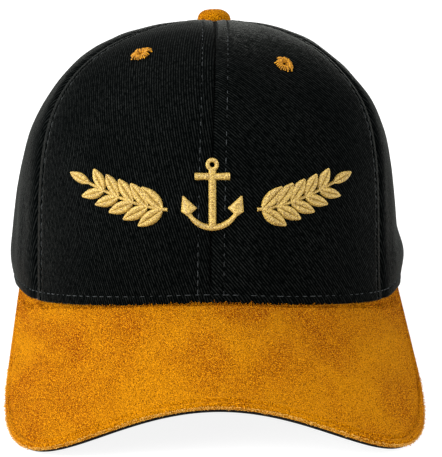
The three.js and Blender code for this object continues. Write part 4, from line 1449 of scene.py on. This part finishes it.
def laurel_strokes(sign):
    """Edges of the stem, and of both halves of every leaf from its midrib out."""
    stem = stem_at(np.linspace(0, 1, 40))
    strokes = [(stem + (0, -0.55), stem + (0, 0.55))]
    for k in range(LAUREL_PAIRS + 1):
        share = (k + 0.3) / (LAUREL_PAIRS + 0.4)
        root = stem_at(share)
        ahead = stem_at(share + 0.02) - root
        heading = math.atan2(ahead[1], ahead[0])
        length = LEAF_LENGTH * (1 - 0.28 * share)
        for splay in ([0] if k == LAUREL_PAIRS else [40, -40]):
            turn = heading + math.radians(splay)
            t = np.linspace(0, 1, 40)
            x = 2 * t * (1 - t) * 0.45 * length + t * t * length
            y = 2 * t * (1 - t) * length * 0.42
            c, s = math.cos(turn), math.sin(turn)
            rib = np.stack([t * length * c, t * length * s], axis=-1) + root
            for half in (1, -1):
                rim = np.stack([x * c - half * y * s, x * s + half * y * c], axis=-1) + root
                strokes.append((rib, rim))
    return [(a * (sign, 1), b * (sign, 1)) for a, b in strokes]


def satin_lines(strokes, pitch, crest):
    """Threads between the two edges of every stroke, domed over the cloth."""
    lines = []
    for number, (inner, outer) in enumerate(strokes):
        length = max(running_length(edge)[-1] for edge in (inner, outer))
        count = max(4, int(length / pitch))
        shares = (np.arange(count) + 0.5) / count
        is_leaf = len(strokes) > 7 and number > 0
        lead = LEAF_SLANT if is_leaf else 0.0
        start = along_path(inner, shares)
        end = along_path(outer, np.minimum(shares + lead * (1 - shares) * 0.6, 1))
        width = np.linalg.norm(end - start, axis=-1)
        across = np.linspace(0, 1, 7)
        plane = start[:, None] * (1 - across)[None, :, None] + end[:, None] * across[None, :, None]
        azimuth, rise = at_crown(plane[..., 0], EMBLEM_LEVEL + plane[..., 1])
        dome = np.sqrt(np.maximum(0, 1 - (2 * across - 1)**2))[None, :]
        height = np.minimum(crest, 0.45 + 0.45 * width)[:, None]
        shake = 0.05 * np.sin(np.arange(count) * 2.4)[:, None]
        from_seam = np.abs(azimuth) * degree_width(0.0, rise)
        dip = -SEAM_DIP * hump(from_seam, 0, SEAM_DIP_REACH)
        out = dip - 0.1 + (height + shake) * dome**0.8
        points = crown_point(azimuth, rise, out)
        lines += [points[k] for k in range(count) if width[k] > 0.25]
    return lines


class CAP_OT_sew_emblem(bpy.types.Operator):
    """Sew the raised anchor and its two laurel sprays"""
    bl_idname = "cap.sew_emblem"
    bl_label = "Emblem"

    def execute(self, context):
        look = context.scene.cap_emblem
        gold = material_named("gold_rayon_thread", thread, look.gold_painted_shade, look.gold_light, 1.0)
        parts = {"anchor": anchor_strokes(), "laurel_left": laurel_strokes(-1),
                 "laurel_right": laurel_strokes(1)}
        for name, strokes in parts.items():
            lines = satin_lines(strokes, look.thread_pitch / MM, look.crest / MM)
            piece = lines_piece(f"sewn_{name}", lines)
            grow(piece, "Satin Threads", {
                "Thread Radius": look.thread_pitch * THREAD_WIDTH, "Thread": gold})
            finish_piece(piece, gold, "gold_thread", name)
        return {"FINISHED"}


# Stage

FLOOR_HALF = 6.0
FRAME_HEIGHT = 457
PIXELS_PER_METRE = 2330.0
CAMERA_TARGET = np.array([5.6, 0.0, 21.4])


def add_soft_light(name, place, size, power):
    data = bpy.data.lights.new(name, "AREA")
    data.size = size
    data.energy = power
    lamp = bpy.data.objects.new(name, data)
    aim = Vector((0, 0, 0.05)) - Vector(place)
    lamp.location = place
    lamp.rotation_euler = aim.to_track_quat("-Z", "Y").to_euler()
    bpy.context.scene.collection.objects.link(lamp)


class CAP_OT_set_stage(bpy.types.Operator):
    """Set the floor, the soft lights and the camera"""
    bl_idname = "cap.set_stage"
    bl_label = "Stage"

    def execute(self, context):
        scene = context.scene
        look = scene.cap_stage
        corners = np.array([(-1, -1, 0), (1, -1, 0), (1, 1, 0), (-1, 1, 0)]) * FLOOR_HALF
        floor = mesh_piece("studio_floor", corners, [[0, 1, 2, 3]])
        floor.data.materials.append(material_named("opal_light_table", Nodes.surface, {
            "Base Color": [look.floor_grey] * 3, "Roughness": 0.9, "Specular IOR Level": 0.0,
            "Emission Color": (1.0, 1.0, 1.0), "Emission Strength": look.floor_glow}))
        floor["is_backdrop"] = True

        world = bpy.data.worlds.new("even_white_surround")
        world.use_nodes = True
        back = world.node_tree.nodes["Background"]
        back.inputs["Color"].default_value = (1, 1, 1, 1)
        back.inputs["Strength"].default_value = look.sky
        scene.world = world
        add_soft_light("left_softbox", (-1.2, -0.7, 0.8), 1.0, look.key)
        add_soft_light("right_softbox", (1.3, -0.3, 0.7), 1.0, look.fill)
        add_soft_light("rear_left_softbox", (-1.0, 0.7, 1.0), 0.8, look.rim)
        scene.view_settings.view_transform = "Standard"

        turn, rise = look.camera_turn, look.camera_rise
        back_axis = np.array([math.sin(turn) * math.cos(rise), -math.cos(turn) * math.cos(rise),
                              math.sin(rise)])
        right = unit(np.cross((0.0, 0.0, 1.0), back_axis))
        up = np.cross(back_axis, right)
        place = to_world(CAMERA_TARGET + back_axis * look.camera_distance / MM)
        axes = turn_to_world(np.stack([right, up, back_axis]))
        lens = bpy.data.cameras.new("photo_camera")
        lens.sensor_width = 36
        lens.lens = PIXELS_PER_METRE * look.camera_distance * lens.sensor_width / FRAME_HEIGHT
        lens.clip_end = 50
        camera = bpy.data.objects.new("photo_camera", lens)
        camera.matrix_world = Matrix.Translation(place) @ Matrix(axes).transposed().to_4x4()
        scene.collection.objects.link(camera)
        scene.camera = camera
        return {"FINISHED"}


class CAP_PT_sidebar(bpy.types.Panel):
    """Settings and steps of the cap"""
    bl_idname = "CAP_PT_sidebar"
    bl_label = "Captain's Cap"
    bl_space_type = "VIEW_3D"
    bl_region_type = "UI"
    bl_category = "Cap"

    def draw(self, context):
        for name, group in SETTINGS.items():
            box = self.layout.box()
            box.label(text=group.__doc__)
            settings = getattr(context.scene, name)
            for key in group.__annotations__:
                box.prop(settings, key)
        for operator in OPERATORS:
            self.layout.operator(operator.bl_idname)


SETTINGS = {
    "cap_crown": CrownSettings,
    "cap_stitches": StitchSettings,
    "cap_peak": PeakSettings,
    "cap_eyelets": EyeletSettings,
    "cap_emblem": EmblemSettings,
    "cap_stage": StageSettings,
}

OPERATORS = (
    CAP_OT_make_crown,
    CAP_OT_sew_crown,
    CAP_OT_bind_arch,
    CAP_OT_make_peak,
    CAP_OT_make_button,
    CAP_OT_sew_eyelets,
    CAP_OT_make_sweatband,
    CAP_OT_make_strap,
    CAP_OT_sew_emblem,
    CAP_OT_set_stage,
)


def register():
    for group in (*SETTINGS.values(), *OPERATORS, CAP_PT_sidebar):
        bpy.utils.register_class(group)
    for name, group in SETTINGS.items():
        setattr(bpy.types.Scene, name, PointerProperty(type=group))


def unregister():
    for name in SETTINGS:
        delattr(bpy.types.Scene, name)
    for group in (CAP_PT_sidebar, *reversed(OPERATORS), *SETTINGS.values()):
        bpy.utils.unregister_class(group)


def main():
    register()
    for operator in OPERATORS:
        step = operator.bl_idname.split(".")[1]
        getattr(bpy.ops.cap, step)()
    sizes = {"cad": cad_box, "visual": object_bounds()}
    plain = {name: [[float(v) for v in corner] for corner in box] for name, box in sizes.items()}


if __name__ == "__main__":
    main()
